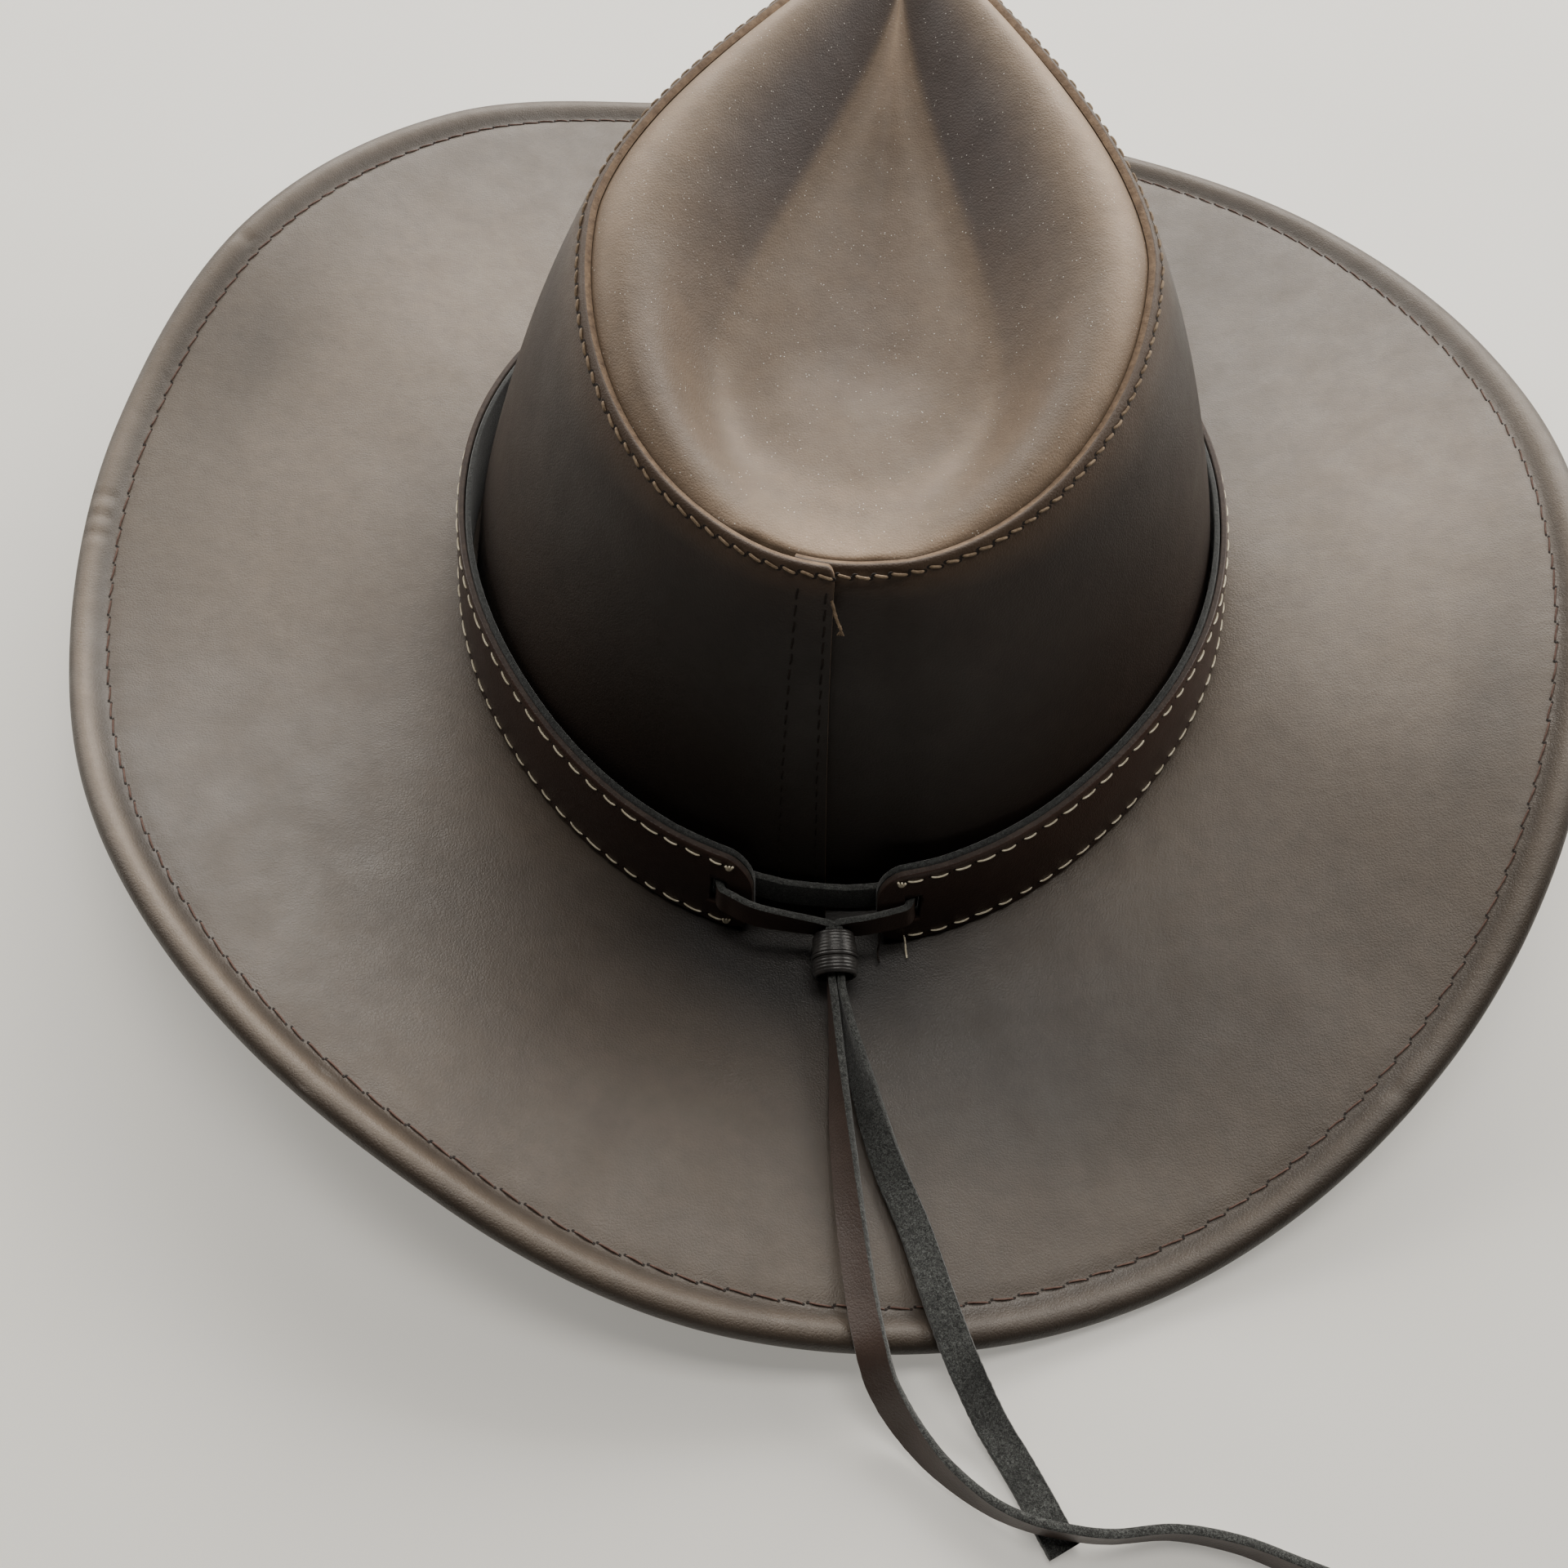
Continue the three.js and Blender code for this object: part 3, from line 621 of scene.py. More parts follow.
def ring_normals(p):
    """Normals of a surface whose rows of points go once round."""
    return unit(np.cross(np.roll(p, -1, 0) - np.roll(p, 1, 0), np.gradient(p, axis=1)))


def tube(path, radius, sides):
    """A closed round tube along a path, as points and faces."""
    path = np.asarray(path, float)
    run = direction(path)
    side = np.zeros_like(path)
    last = unit(np.cross(run[0], [0.21, 0.38, 0.9]))
    for i, r in enumerate(run):
        last = unit(last - r * np.dot(last, r))
        side[i] = last
    up = np.cross(run, side)
    radius = np.broadcast_to(radius, len(path))
    a = circle(sides)[:, None]
    ring = side[:, None] * np.cos(a) + up[:, None] * np.sin(a)
    points = (path[:, None] + ring * radius[:, None, None]).reshape(-1, 3)
    faces = quads(len(path), sides, wrap_columns=True)
    faces += [list(range(sides)), list(range(len(points) - sides, len(points)))]
    return points, faces


def gather(parts):
    """Several lists of points and faces as one."""
    points = []
    faces = []
    count = 0
    for p, f in parts:
        points.append(p)
        faces += [[i + count for i in face] for face in f]
        count += len(p)
    return np.vstack(points), faces


def along_path(path, normals, closed):
    """Gives the place and the normal at any distance along a path, and its length."""
    if closed:
        path = np.vstack([path, path[:1]])
        normals = np.vstack([normals, normals[:1]])
    length = measured(path)

    def at(distance):
        d = np.mod(distance, length[-1]) if closed else np.clip(distance, 0, length[-1])
        place = np.stack([np.interp(d, length, path[:, k]) for k in range(3)], -1)
        normal = np.stack([np.interp(d, length, normals[:, k]) for k in range(3)], -1)
        return place, unit(normal)

    return at, length[-1]


def stitch_hole(place, run, side, normal, radius):
    """The dark hole that a stitch goes into, longer along the seam than across it."""
    sides = 9
    a = circle(sides)[:, None]
    ring = run * np.cos(a) * HOLE_LONG + side * np.sin(a) * HOLE_WIDE
    rim = place + ring * radius + normal * HOLE_STAND
    faces = [[k, (k + 1) % sides, sides + (k + 1) % sides, sides + k] for k in range(sides)]
    faces += [list(range(sides)), list(range(sides, 2 * sides))]
    return np.vstack([rim, rim - normal * HOLE_DEPTH]), faces


def stitch_row(name, path, normals, seam, material, hole=None, closed=False):
    """Stitches along a path on a surface, each one dipping into its two holes."""
    at, length = along_path(path, normals, closed)
    count = int(round(length / seam["pitch"]))
    step = length / count
    radius = seam["radius"]
    random = np.random.default_rng(5)
    threads = []
    holes = []
    t = np.linspace(-1, 1, 9)
    for n in range(count):
        half = seam["share"] * step / 2 * (1 + 0.1 * random.normal())
        place, normal = at((n + 0.5) * step + half * t)
        run = direction(place)
        side = np.cross(run, normal)
        bow = seam["bow"] + STITCH_WANDER * random.normal()
        wander = (seam["slant"] * t + bow * (1 - t**2))[:, None]
        lift = seam["lift"] * (1 + 0.15 * random.normal())
        rise = lift * (1 - np.abs(t) ** 3.5) - radius * 1.1 * np.abs(t) ** 6
        line = place + side * wander
        threads.append(tube(line + normal * rise[:, None], radius * (1 - 0.25 * t**6), 7))
        if hole is not None:
            for end in (0, -1):
                holes.append(stitch_hole(line[end], run[end], side[end], normal[end], radius))
    made = [piece(name, *gather(threads), [material])]
    if hole is not None:
        made.append(piece(name + "_holes", *gather(holes), [hole]))
    for row in made:
        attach(row, "root")


def thread_end(name, points, material, radius):
    path, _ = smooth_path(points, 26)
    random = np.random.default_rng(9)
    radii = radius * (1 + 0.12 * random.normal(size=len(path)))
    return piece(name, *tube(path, radii, 7), [material])


# Materials


def new_material(name, values):
    """A material, with its shader's fixed values set by name."""
    material = bpy.data.materials.new(name)
    material.use_nodes = True
    for key, value in values.items():
        material.node_tree.nodes["Principled BSDF"].inputs[key].default_value = value
    return material, material.node_tree


def feed(tree, key, value):
    """Links a value that varies over the surface to the shader."""
    tree.links.new(value, tree.nodes["Principled BSDF"].inputs[key])


def add_node(tree, kind, inputs=None, **settings):
    made = tree.nodes.new(kind)
    for key, value in settings.items():
        setattr(made, key, value)
    for key, value in (inputs or {}).items():
        if isinstance(value, bpy.types.NodeSocket):
            tree.links.new(value, made.inputs[key])
        else:
            made.inputs[key].default_value = value
    return made


def place_of(tree):
    return add_node(tree, "ShaderNodeTexCoord").outputs["Object"]


def noise(tree, scale, detail, roughness=0.55, distortion=0.0):
    inputs = {"Vector": place_of(tree), "Scale": scale, "Detail": detail}
    inputs.update({"Roughness": roughness, "Distortion": distortion})
    return add_node(tree, "ShaderNodeTexNoise", inputs).outputs["Fac"]


def cells(tree, scale, **settings):
    inputs = {"Vector": place_of(tree), "Scale": scale}
    return add_node(tree, "ShaderNodeTexVoronoi", inputs, **settings).outputs["Distance"]


def spread(tree, value, low, high, to_low=0.0, to_high=1.0):
    inputs = {"Value": value, "From Min": low, "From Max": high, "To Min": to_low, "To Max": to_high}
    return add_node(tree, "ShaderNodeMapRange", inputs).outputs["Result"]


def reckon(tree, operation, a, b):
    return add_node(tree, "ShaderNodeMath", {0: a, 1: b}, operation=operation).outputs[0]


def blend(tree, share, a, b, mode="MIX"):
    a, b = (c if isinstance(c, bpy.types.NodeSocket) else (*c, 1) for c in (a, b))
    inputs = {0: share, 6: a, 7: b}
    return add_node(tree, "ShaderNodeMix", inputs, data_type="RGBA", blend_type=mode).outputs[2]


def mottle(tree, patches, low, high, dark, pale):
    """A colour between two tones, in the patches of a noise."""
    return blend(tree, spread(tree, noise(tree, *patches), low, high), dark, pale)


def bump(tree, height, strength, distance, normal=None):
    inputs = {"Height": height, "Strength": strength, "Distance": distance}
    if normal is not None:
        inputs["Normal"] = normal
    return add_node(tree, "ShaderNodeBump", inputs).outputs["Normal"]


def dusted(tree, colour, amount):
    """Small pale specks, in some places more than in others."""
    near = spread(tree, cells(tree, 1100), 0.14, 0.08)
    few = spread(tree, noise(tree, 360, 2), 0.5, 0.57)
    specks = reckon(tree, "MULTIPLY", reckon(tree, "MULTIPLY", near, few), amount)
    return blend(tree, specks, colour, (0.75, 0.72, 0.66))


def leather(name, tones, rough, grain=0.25, dust=0.0, dark=None, shine=0.5):
    """Waxed leather: cloudy tones, a fine grain, and a tone attribute that makes it paler or darker, as
    painted light and shade with some of the paleness of stretched leather on the tip.
    """
    material, tree = new_material(name, {"Specular IOR Level": shine})
    deep, middle, pale = tones
    colour = mottle(tree, (17, 5, 0.55, 0.4), 0.3, 0.7, deep, middle)
    tone = add_node(tree, "ShaderNodeAttribute", attribute_name="tone").outputs["Fac"]
    colour = blend(tree, spread(tree, tone, 0, 1), colour, pale)
    colour = blend(tree, spread(tree, tone, 0, -1), colour, dark or [0.35 * v for v in deep])
    speckle = spread(tree, noise(tree, 240, 5, 0.6), 0.25, 0.75, 0.86, 1.14)
    colour = blend(tree, 1.0, colour, speckle, "MULTIPLY")
    if dust:
        colour = dusted(tree, colour, dust)
    feed(tree, "Base Color", colour)
    feed(tree, "Roughness", spread(tree, noise(tree, 90, 4, 0.6), 0.3, 0.7, rough - 0.05, rough + 0.07))
    creases = spread(tree, cells(tree, 1500, feature="DISTANCE_TO_EDGE"), 0.0, 0.25)
    height = reckon(tree, "ADD", reckon(tree, "MULTIPLY", creases, 0.4), noise(tree, 700, 4, 0.65))
    normal = bump(tree, height, grain, 0.0003)
    feed(tree, "Normal", bump(tree, noise(tree, 60, 3, 0.5), 0.12, 0.002, normal))
    return material


def suede(name, dark, pale):
    values = {"Roughness": 0.95, "Specular IOR Level": 0.15, "Sheen Weight": 0.35, "Sheen Roughness": 0.5}
    material, tree = new_material(name, values)
    colour = mottle(tree, (2000, 6, 0.8, 1.5), 0.45, 0.62, dark, pale)
    flat = spread(tree, noise(tree, 160, 3, 0.6), 0.45, 0.75, 0.0, 0.5)
    feed(tree, "Base Color", blend(tree, flat, colour, dark))
    feed(tree, "Normal", bump(tree, noise(tree, 1400, 5, 0.75), 0.6, 0.0004))
    return material


def raw_edge(name, dark, pale):
    material, tree = new_material(name, {"Roughness": 0.8})
    colour = mottle(tree, (500, 5, 0.7), 0.3, 0.7, dark, pale)
    patches = spread(tree, noise(tree, 45, 3, 0.6), 0.4, 0.75, 0.0, 0.5)
    feed(tree, "Base Color", blend(tree, patches, colour, dark))
    feed(tree, "Normal", bump(tree, noise(tree, 1100, 4, 0.7), 0.5, 0.0004))
    return material


def thread_material(name, dark, pale):
    material, tree = new_material(name, {"Roughness": 0.7, "Specular IOR Level": 0.2})
    feed(tree, "Base Color", mottle(tree, (800, 3, 0.6), 0.3, 0.7, dark, pale))
    feed(tree, "Normal", bump(tree, noise(tree, 2600, 3, 0.6), 0.5, 0.0002))
    return material


def brim_leather():
    tones = (0.064, 0.048, 0.036), (0.087, 0.066, 0.048), (0.19, 0.146, 0.108)
    # The dark tone is the colour of the brim's painted shade
    return leather("brim_leather", tones, 0.47, dark=(0.009, 0.0068, 0.0058))


def crown_leather():
    # A darker copy of the hat's leather: painted shade on the walls of the side panel
    tones = (0.017, 0.0105, 0.0075), (0.028, 0.0172, 0.0125), (0.125, 0.078, 0.047)
    return leather("crown_leather", tones, 0.5, shine=0.42)


def tip_leather():
    # A paler copy of the hat's leather: partly the paleness of the tip's stretched leather, partly painted
    # light on the top, which faces the lamps; the dark tone is for the painted shade on its slopes
    tones = (0.13, 0.09, 0.059), (0.175, 0.122, 0.08), (0.42, 0.3, 0.205)
    return leather("tip_leather", tones, 0.56, dust=0.95, dark=(0.05, 0.034, 0.03))


def band_leather():
    tones = (0.03, 0.0155, 0.012), (0.05, 0.0275, 0.0205), (0.08, 0.05, 0.04)
    return leather("band_leather", tones, 0.38)


def lace_leather():
    tones = (0.03, 0.018, 0.014), (0.055, 0.034, 0.026), (0.1, 0.07, 0.055)
    return leather("lace_leather", tones, 0.45, 0.2)


def bead_material():
    material, tree = new_material("bead", {"Roughness": 0.34})
    tones = (0.012, 0.011, 0.011), (0.035, 0.032, 0.03)
    feed(tree, "Base Color", mottle(tree, (400, 4, 0.6), 0.3, 0.7, *tones))
    feed(tree, "Normal", bump(tree, noise(tree, 1600, 3, 0.6), 0.25, 0.0002))
    return material


def hole_material():
    # Near black: painted shade standing in for the depth of the stitch holes
    material, tree = new_material("stitch_hole", {"Roughness": 0.9})
    tones = (0.008, 0.005, 0.004), (0.02, 0.013, 0.01)
    feed(tree, "Base Color", blend(tree, noise(tree, 900, 2), *tones))
    return material


def floor_material():
    # The floor glows faintly though it is no lamp: painted light that lifts the shadows on it
    glow = {"Roughness": 0.55, "Emission Color": (1, 0.965, 0.885, 1), "Emission Strength": 0.28}
    material, tree = new_material("floor", glow)
    tones = (0.6, 0.585, 0.55), (0.64, 0.625, 0.59)
    feed(tree, "Base Color", mottle(tree, (6, 3), 0.35, 0.65, *tones))
    return material


# The camera, the light and the floor


def stand(made, place, back, roll=0.0):
    """Places an object so that its own Z points back, and rolls it about that axis."""
    right = unit(np.cross([0, 0, 1], back))
    up = np.cross(back, right)
    c = cos(roll)
    s = sin(roll)
    columns = np.array([c * right + s * up, c * up - s * right, back, place])
    made.matrix_world = Matrix([*columns.T.tolist(), [0, 0, 0, 1]])


def add_camera():
    level = cos(VIEW_ELEVATION)
    back = np.array([sin(VIEW_AZIMUTH) * level, -cos(VIEW_AZIMUTH) * level, sin(VIEW_ELEVATION)])
    camera = add_object("camera", bpy.data.cameras.new("camera"))
    stand(camera, VIEW_TARGET + back * VIEW_DISTANCE + SHIFT, back, VIEW_ROLL)
    camera.data.sensor_width = SENSOR
    camera.data.lens = SENSOR * FOCAL_SHARE
    camera.data.clip_start = 0.01
    bpy.context.scene.camera = camera


def add_area(name, place, aim, size, energy):
    light = bpy.data.lights.new(name, "AREA")
    light.shape = "RECTANGLE"
    light.size, light.size_y = size
    light.energy = energy
    light.color = WARM_LIGHT
    stand(add_object(name, light), place, unit(np.array(place) - np.array(aim)))


def add_lights():
    add_area("window", (0.1, 1.4, 0.95), (0, 0, 0.05), (2.4, 0.9), 58)
    add_area("ceiling", (0.0, 0.2, 1.6), (0, 0, 0), (1.2, 0.5), 12)
    add_area("left", (-1.5, 0.75, 0.85), (0, 0, 0.03), (1.0, 1.0), 14)
    add_area("right", (1.5, 0.75, 0.85), (0, 0, 0.03), (1.0, 1.0), 15)
    world = bpy.data.worlds.new("surroundings")
    world.use_nodes = True
    background = world.node_tree.nodes["Background"].inputs
    background["Color"].default_value = (1, 0.97, 0.93, 1)
    background["Strength"].default_value = 0.05
    bpy.context.scene.world = world


def add_floor():
    mesh = bpy.data.meshes.new("floor")
    reach = FLOOR_REACH
    corners = [(-reach, -reach), (reach, -reach), (reach, reach), (-reach, reach)]
    mesh.from_pydata([(x, y, FLOOR_HEIGHT) for x, y in corners], [], [(0, 1, 2, 3)])
    mesh.materials.append(floor_material())
    floor = add_object("floor", mesh)


# The lace and the bead


BEAD_AXIS = unit(BEAD_MOUTH - BEAD_TOP)


def strand_shift(side):
    return unit(np.cross([0, 0, 1], BEAD_AXIS)) * side * (LACE_THICK + GAP) / 2


def lace_widths(places):
    past = (places - BEAD_TOP) @ BEAD_AXIS
    outside = np.maximum(-past, past - BEAD_LENGTH) / LACE_WIDTH
    near = np.linalg.norm(places - BEAD_TOP, axis=-1) < 3 * BEAD_LENGTH
    return LACE_WIDTH * np.where(near, LACE_PINCH + (1 - LACE_PINCH) * ease(outside), 1)


def strip(name, places, wide, thin, materials, suede_first):
    """A flat lace along its places: one broad face smooth, the other face and both edges suede."""
    random = np.random.default_rng(3)
    widths = lace_widths(places)
    rough = random.normal(size=(len(places), 2)) * LACE_ROUGH
    section = [(-1, -0.55), (-0.93, -1), (-0.5, -1), (0, -1), (0.5, -1), (0.93, -1), (1, -0.55)]
    section += [(-w, -t) for w, t in section]
    rings = []
    for w, t in section:
        edge = (widths / 2 + rough[:, 0 if w < 0 else 1] * (abs(w) > 0.9)) * w
        cup = LACE_CUP * (w * w - 0.5)
        rings.append(places + wide * edge[:, None] + thin * (t * LACE_THICK / 2 + cup))
    count = len(section)
    faces = quads(len(places), count, wrap_columns=True)
    slots = np.ones(len(faces), int)
    for k in range(8, 12) if suede_first else range(1, 5):
        slots[k::count] = 0
    last = (len(places) - 1) * count
    faces += [list(range(count)), list(range(last, last + count))]
    return piece(name, np.stack(rings, 1), faces, materials, np.append(slots, [1, 1]), sharp=40)


def lace_tail(name, side, rows, materials, suede_first):
    shift = strand_shift(side)
    start = (BEAD_TOP + BEAD_MOUTH) / 2 + BEAD_AXIS * GAP + shift
    route, length = smooth_path([(*start, 90), (*(BEAD_MOUTH + shift), 90)] + rows, 220)
    places = route[:, :3]
    roll = route[:, 3:]
    run = direction(places)
    flat = unit(np.stack([-run[:, 1], run[:, 0], 0 * run[:, 0]], -1))
    up = unit(np.cross(run, flat))
    wide = flat * cos(roll) + up * sin(roll)
    tail = strip(name + "_fine", places, wide, np.cross(run, wide), materials, suede_first)
    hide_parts(name)
    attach(tail, "root")


def slot_angles():
    away = band_angle(BAND_OPENING / 2 + SLOT_INSET)
    return BAND_MIDDLE - away, BAND_MIDDLE + away


def loop_half(side, angle):
    """Places and upward directions of the lace from the bead through one slot and behind the band."""
    clear = LACE_EASE + LACE_THICK / 2
    radius = (BAND_THICK + 2 * clear) / 2
    out = outward(angle)
    across = unit(np.array([-side, 0, 0]) + out * side * out[0])
    slot = band_point(angle, 0.5, BAND_THICK / 2)
    band_up = unit(band_point(angle, 0.7, 0.0) - band_point(angle, 0.3, 0.0))
    shift = strand_shift(side)
    bead = [(BEAD_TOP + BEAD_MOUTH) / 2 + shift, BEAD_TOP + shift]
    bead.append(BEAD_TOP - BEAD_AXIS * 0.0013 + shift * 1.2)
    bend = [(radius + 0.007, radius + 0.0008)]
    for a in (90, 50, 0, -50, -90):
        bend.append((radius * (1 - cos(a)), radius * sin(a)))
    rows = [(*p, 0, 0, 1) for p in bead]
    rows += [(*(slot + across * run + out * off), *band_up) for run, off in bend]
    for share in (0.75, 0.5, 0.25):
        behind = BAND_MIDDLE + (angle - BAND_MIDDLE) * share
        rows.append((*band_point(behind, 0.5, -clear), *band_up))
    return rows


def lace_loop(materials):
    left, right = slot_angles()
    route, _ = smooth_path(loop_half(-1, left) + loop_half(1, right)[::-1], 300)
    places = route[:, :3]
    run = direction(places)
    thin = unit(np.cross(route[:, 3:], run))
    loop = strip("lace_loop_fine", places, np.cross(run, thin), thin, materials, True)
    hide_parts("lace_loop")
    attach(loop, "root")


def slide_bead(material):
    along = np.unique(np.concatenate([np.linspace(0, 1, 130), column(BEAD_PROFILE, "along")]))
    radius = np.interp(along, column(BEAD_PROFILE, "along"), column(BEAD_PROFILE, "radius"))
    lined = (np.abs(along - 0.565) > 0.06) & (along > 0.05) & (along < 0.93)
    radius += 0.005 * np.sin(along * 2 * np.pi * BEAD_LINES) * lined
    outer = np.stack([along * BEAD_LENGTH, radius * BEAD_DIAMETER / 2], -1)
    bore = BEAD_BORE / 2
    lip = BEAD_LIP
    inner = np.array([[BEAD_LENGTH, bore + lip], [BEAD_LENGTH - lip, bore], [lip, bore], [0, bore + lip]])
    profile = np.vstack([outer, inner])
    side = unit(np.cross([0, 0, 1], BEAD_AXIS))
    a = circle(96)[:, None]
    ring = side * np.cos(a) + np.cross(BEAD_AXIS, side) * np.sin(a)
    points = BEAD_TOP + BEAD_AXIS * profile[None, :, :1] + ring[:, None] * profile[None, :, 1:]
    faces = quads(len(a), len(profile), True, True)
    bead = piece("slide_bead_fine", points, faces, [material], sharp=35)
    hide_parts("slide_bead")
    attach(bead, "root")


# The brim


def hem_steps():
    """Shares of the hem's width from the stitches to the edge, closer together at the edge."""
    round_edge = np.sin(np.linspace(0, 1, 10)[1:] * np.pi / 2)
    return np.concatenate([np.linspace(0, HEM_FULL, 11), HEM_FULL + (1 - HEM_FULL) * round_edge])


def hem_off(share):
    """Half the hem's thickness over its width, from the stitch line (0) to the edge (1)."""
    low = 0.8 * BRIM_LEATHER / 2
    half = HEM_THICK / 2
    swell = low + (half - low) * ease(share / HEM_FULL)
    round_off = half * np.sqrt(np.clip(1 - ((share - HEM_FULL) / (1 - HEM_FULL)) ** 2, 0, 1))
    return np.where(share < HEM_FULL, swell, round_off)


def brim_top(angles, stitch, shares):
    """Reach and offset of the brim's upper face, with the seam's groove and the hem's wrinkles."""
    hem = hem_steps()
    inner = 0 * stitch - CROWN_LEATHER - BRIM_LIP
    reach = np.concatenate([inner, stitch * shares, stitch + HEM_WIDTH * hem], 1)
    off = np.full(reach.shape, BRIM_LEATHER / 2)
    off[:, -len(hem) :] = hem_off(hem)
    phase = cos(angles * HEM_DIMPLES)
    off -= (HEM_GROOVE + HEM_DIMPLE * phase) * hill(reach, stitch, HEM_GROOVE_WIDTH)
    for row in HEM_WRINKLES:
        near = hill(angles, row["angle"], 0.42 * row["wide"])
        off -= row["deep"] * near * (reach > stitch) * (off > 0.3 * HEM_THICK)
    return reach, off


def brim_under(stitch, shares):
    """Reach and offset of the brim's lower face, from the edge to the crown."""
    hem = hem_steps()[-2:0:-1]
    half = HEM_THICK / 2
    turned = stitch - HEM_TURN_UNDER
    inner = 0 * stitch - CROWN_LEATHER - BRIM_LIP
    fold = [stitch, turned + 0.0002, turned]
    reach = np.concatenate([stitch + HEM_WIDTH * hem, *fold, (stitch * shares[:-3])[:, ::-1], inner], 1)
    off = np.full(reach.shape, -BRIM_LEATHER / 2)
    off[:, : len(hem)] = -np.maximum(hem_off(hem), HEM_UNDER * half * (hem < 0.6))
    off[:, len(hem) : len(hem) + 2] = [-HEM_UNDER * half, -0.8 * half]
    return reach, off


def brim_light_and_shade(angles, reach, past):
    """How pale or dark the brim is as painted light and shade, past being 0 at the hem's stitches and 1 at
    its edge.
    """
    # Painted highlight on the hem's roll, painted shade on its outer edge and in the groove by the stitches
    tone = 0.2 * hill(past, 0.6, 0.18) - 0.55 * hill(past, 1.03, 0.16) - 0.4 * hill(past, 0.18, 0.16)
    # Painted highlight on the hem's roll at the lower left
    tone += 0.7 * hill(past, 0.6, 0.22) * hill(angles, 215, 30)
    # Painted shade on the hem's roll at the lower right, dimming its reflection
    tone -= 0.5 * hill(past, 0.75, 0.3) * hill(angles, 305, 32)
    # Painted light and shade from the table of the brim's places
    for row in BRIM_LIGHT_AND_SHADE:
        along = turned_from(angles, row["angle"]) * turn * (HEAD_LENGTH / 2 + row["reach"])
        tone -= row["dark"] * hill(along, 0, row["along"]) * hill(reach, row["reach"], row["across"])
    return tone


def brim(material):
    angles = np.linspace(0, 360, 900, endpoint=False)[:, None]
    stitch = brim_width(angles) - HEM_WIDTH
    shares = np.concatenate([[0.0], np.linspace(0.03, 0.955, 26), [0.985]])
    top = brim_top(angles, stitch, shares)
    under = brim_under(stitch, shares)
    reach, off = (np.concatenate(pair, 1) for pair in zip(top, under))
    tone = brim_light_and_shade(angles, reach, (reach - stitch) / HEM_WIDTH)
    faces = quads(len(angles), reach.shape[1], True, True)
    made = piece("brim_fine", brim_point(angles, reach, off), faces, [material], tone=tone)
    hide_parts("brim")
    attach(made, "root")


def hem_stitches(material, hole):
    angles = np.linspace(0, 360, 720, endpoint=False)
    reach = brim_width(angles) - HEM_WIDTH
    line = brim_point(angles, reach, BRIM_LEATHER / 2 - 0.0002)
    normals = -normals_of(lambda a, r: brim_point(a, r, 0.0), angles, reach, 0.3, 0.001)
    stitch_row("hem_stitches", line, normals, SEAMS["hem"], material, hole, True)


# The crown


def crown_side(material, edge):
    lap = side_degrees(LAP_WIDTH)
    corner = side_degrees(LAP_CORNER)
    start = LAP_ANGLE - lap
    length = 360 + lap
    last = corner * np.linspace(0, 1, 9) ** 2
    along = np.concatenate([np.linspace(0, length - corner, 520)[:-1], (length - last)[::-1]])
    angle = start + along
    hidden = np.where(along < length / 2, lap_dip(angle), 0)
    out = (lap_rise(length - along) - hidden)[:, None]
    ups = np.concatenate([np.linspace(0, 0.9, 34), np.linspace(0.915, 0.99, 10), [0.997, 1.0]])
    lift = np.zeros_like(ups)
    lift[-2:] = SIDE_ROUND
    near = np.clip(1 - (length - along) / corner, 0, 1)
    tall = (seam_point(angle) - crown_foot(angle))[:, 2]
    reached = (1 - LAP_CORNER / tall * (1 - np.sqrt(1 - near**2)))[:, None]
    outer = side_wall(angle[:, None], ups * reached, out + lift)
    inner = side_wall(angle[:, None], ups[::-1] * reached, out - CROWN_LEATHER - 0.2 * lift[::-1])
    points = np.concatenate([outer, inner], 1)
    faces, slots = strip_faces(len(along), 2 * len(ups), [len(ups) - 1])
    # The side panel is paler at its upper edge, and as painted light more so towards the window; below that
    # edge its back, facing away from the lamps, gets painted shade
    rim = hill(np.concatenate([ups, ups[::-1]]), 1, 0.1)
    pale = 0.4 + 0.12 * front_right(angle[:, None])
    tone = rim * pale - 0.75 * (1 - rim) * hill(turned_from(angle[:, None], 266), 0, 34)
    made = piece("crown_side_fine", points, faces, [material, edge], slots, tone)
    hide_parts("crown_side")
    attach(made, "root")


def front_right(angle):
    """1 towards the window at the front right and 0 away from it."""
    return 0.5 + 0.5 * cos(angle - 30)


def tip_tone(angle, place):
    """How pale or dark the tip is, mostly as painted light and shade, place being 1 at the seam, 2 at the
    crest and 5 in the middle.
    """
    s = sin(angle)
    front = ease((s + 0.45) / 0.7)
    back = 1 - front
    # Paler between the seam and the crest: partly the stretched leather's own paleness, partly a painted
    # highlight towards the window
    tone = 0.75 * hill(place, 1.5, 0.4) * (0.4 + 0.6 * front_right(angle))
    # Painted shade on the steep slopes of the hollow, most at the front
    slopes = 0.3 * front + 0.65 * ease((s + 0.02) / 0.55)
    tone -= slopes * ease((3.05 - place) / 0.18) * ease((place - 1.95) / 0.6)
    # Painted shade in the middle of the hollow
    tone -= 0.26 * hill(place, 4.8, 0.7)
    # Painted shade on the crest at the back, away from the window, except at its middle
    tone -= 0.34 * back * (1 - hill(angle, 268, 30)) * hill(place, 1.9, 0.6)
    # Painted highlight along the foot of the hollow at the back
    tone += 0.17 * back * hill(place, 3.12, 0.16)
    # Painted light on the crest at the back middle, up to the seam
    tone += 0.55 * hill(place, 2.1, 0.7) * hill(angle, 268, 26)
    # Painted highlight on the narrow streak at the front of the hollow
    tone += hill(place, 3.3, 0.4) * hill(angle, 90, 30)
    return tone


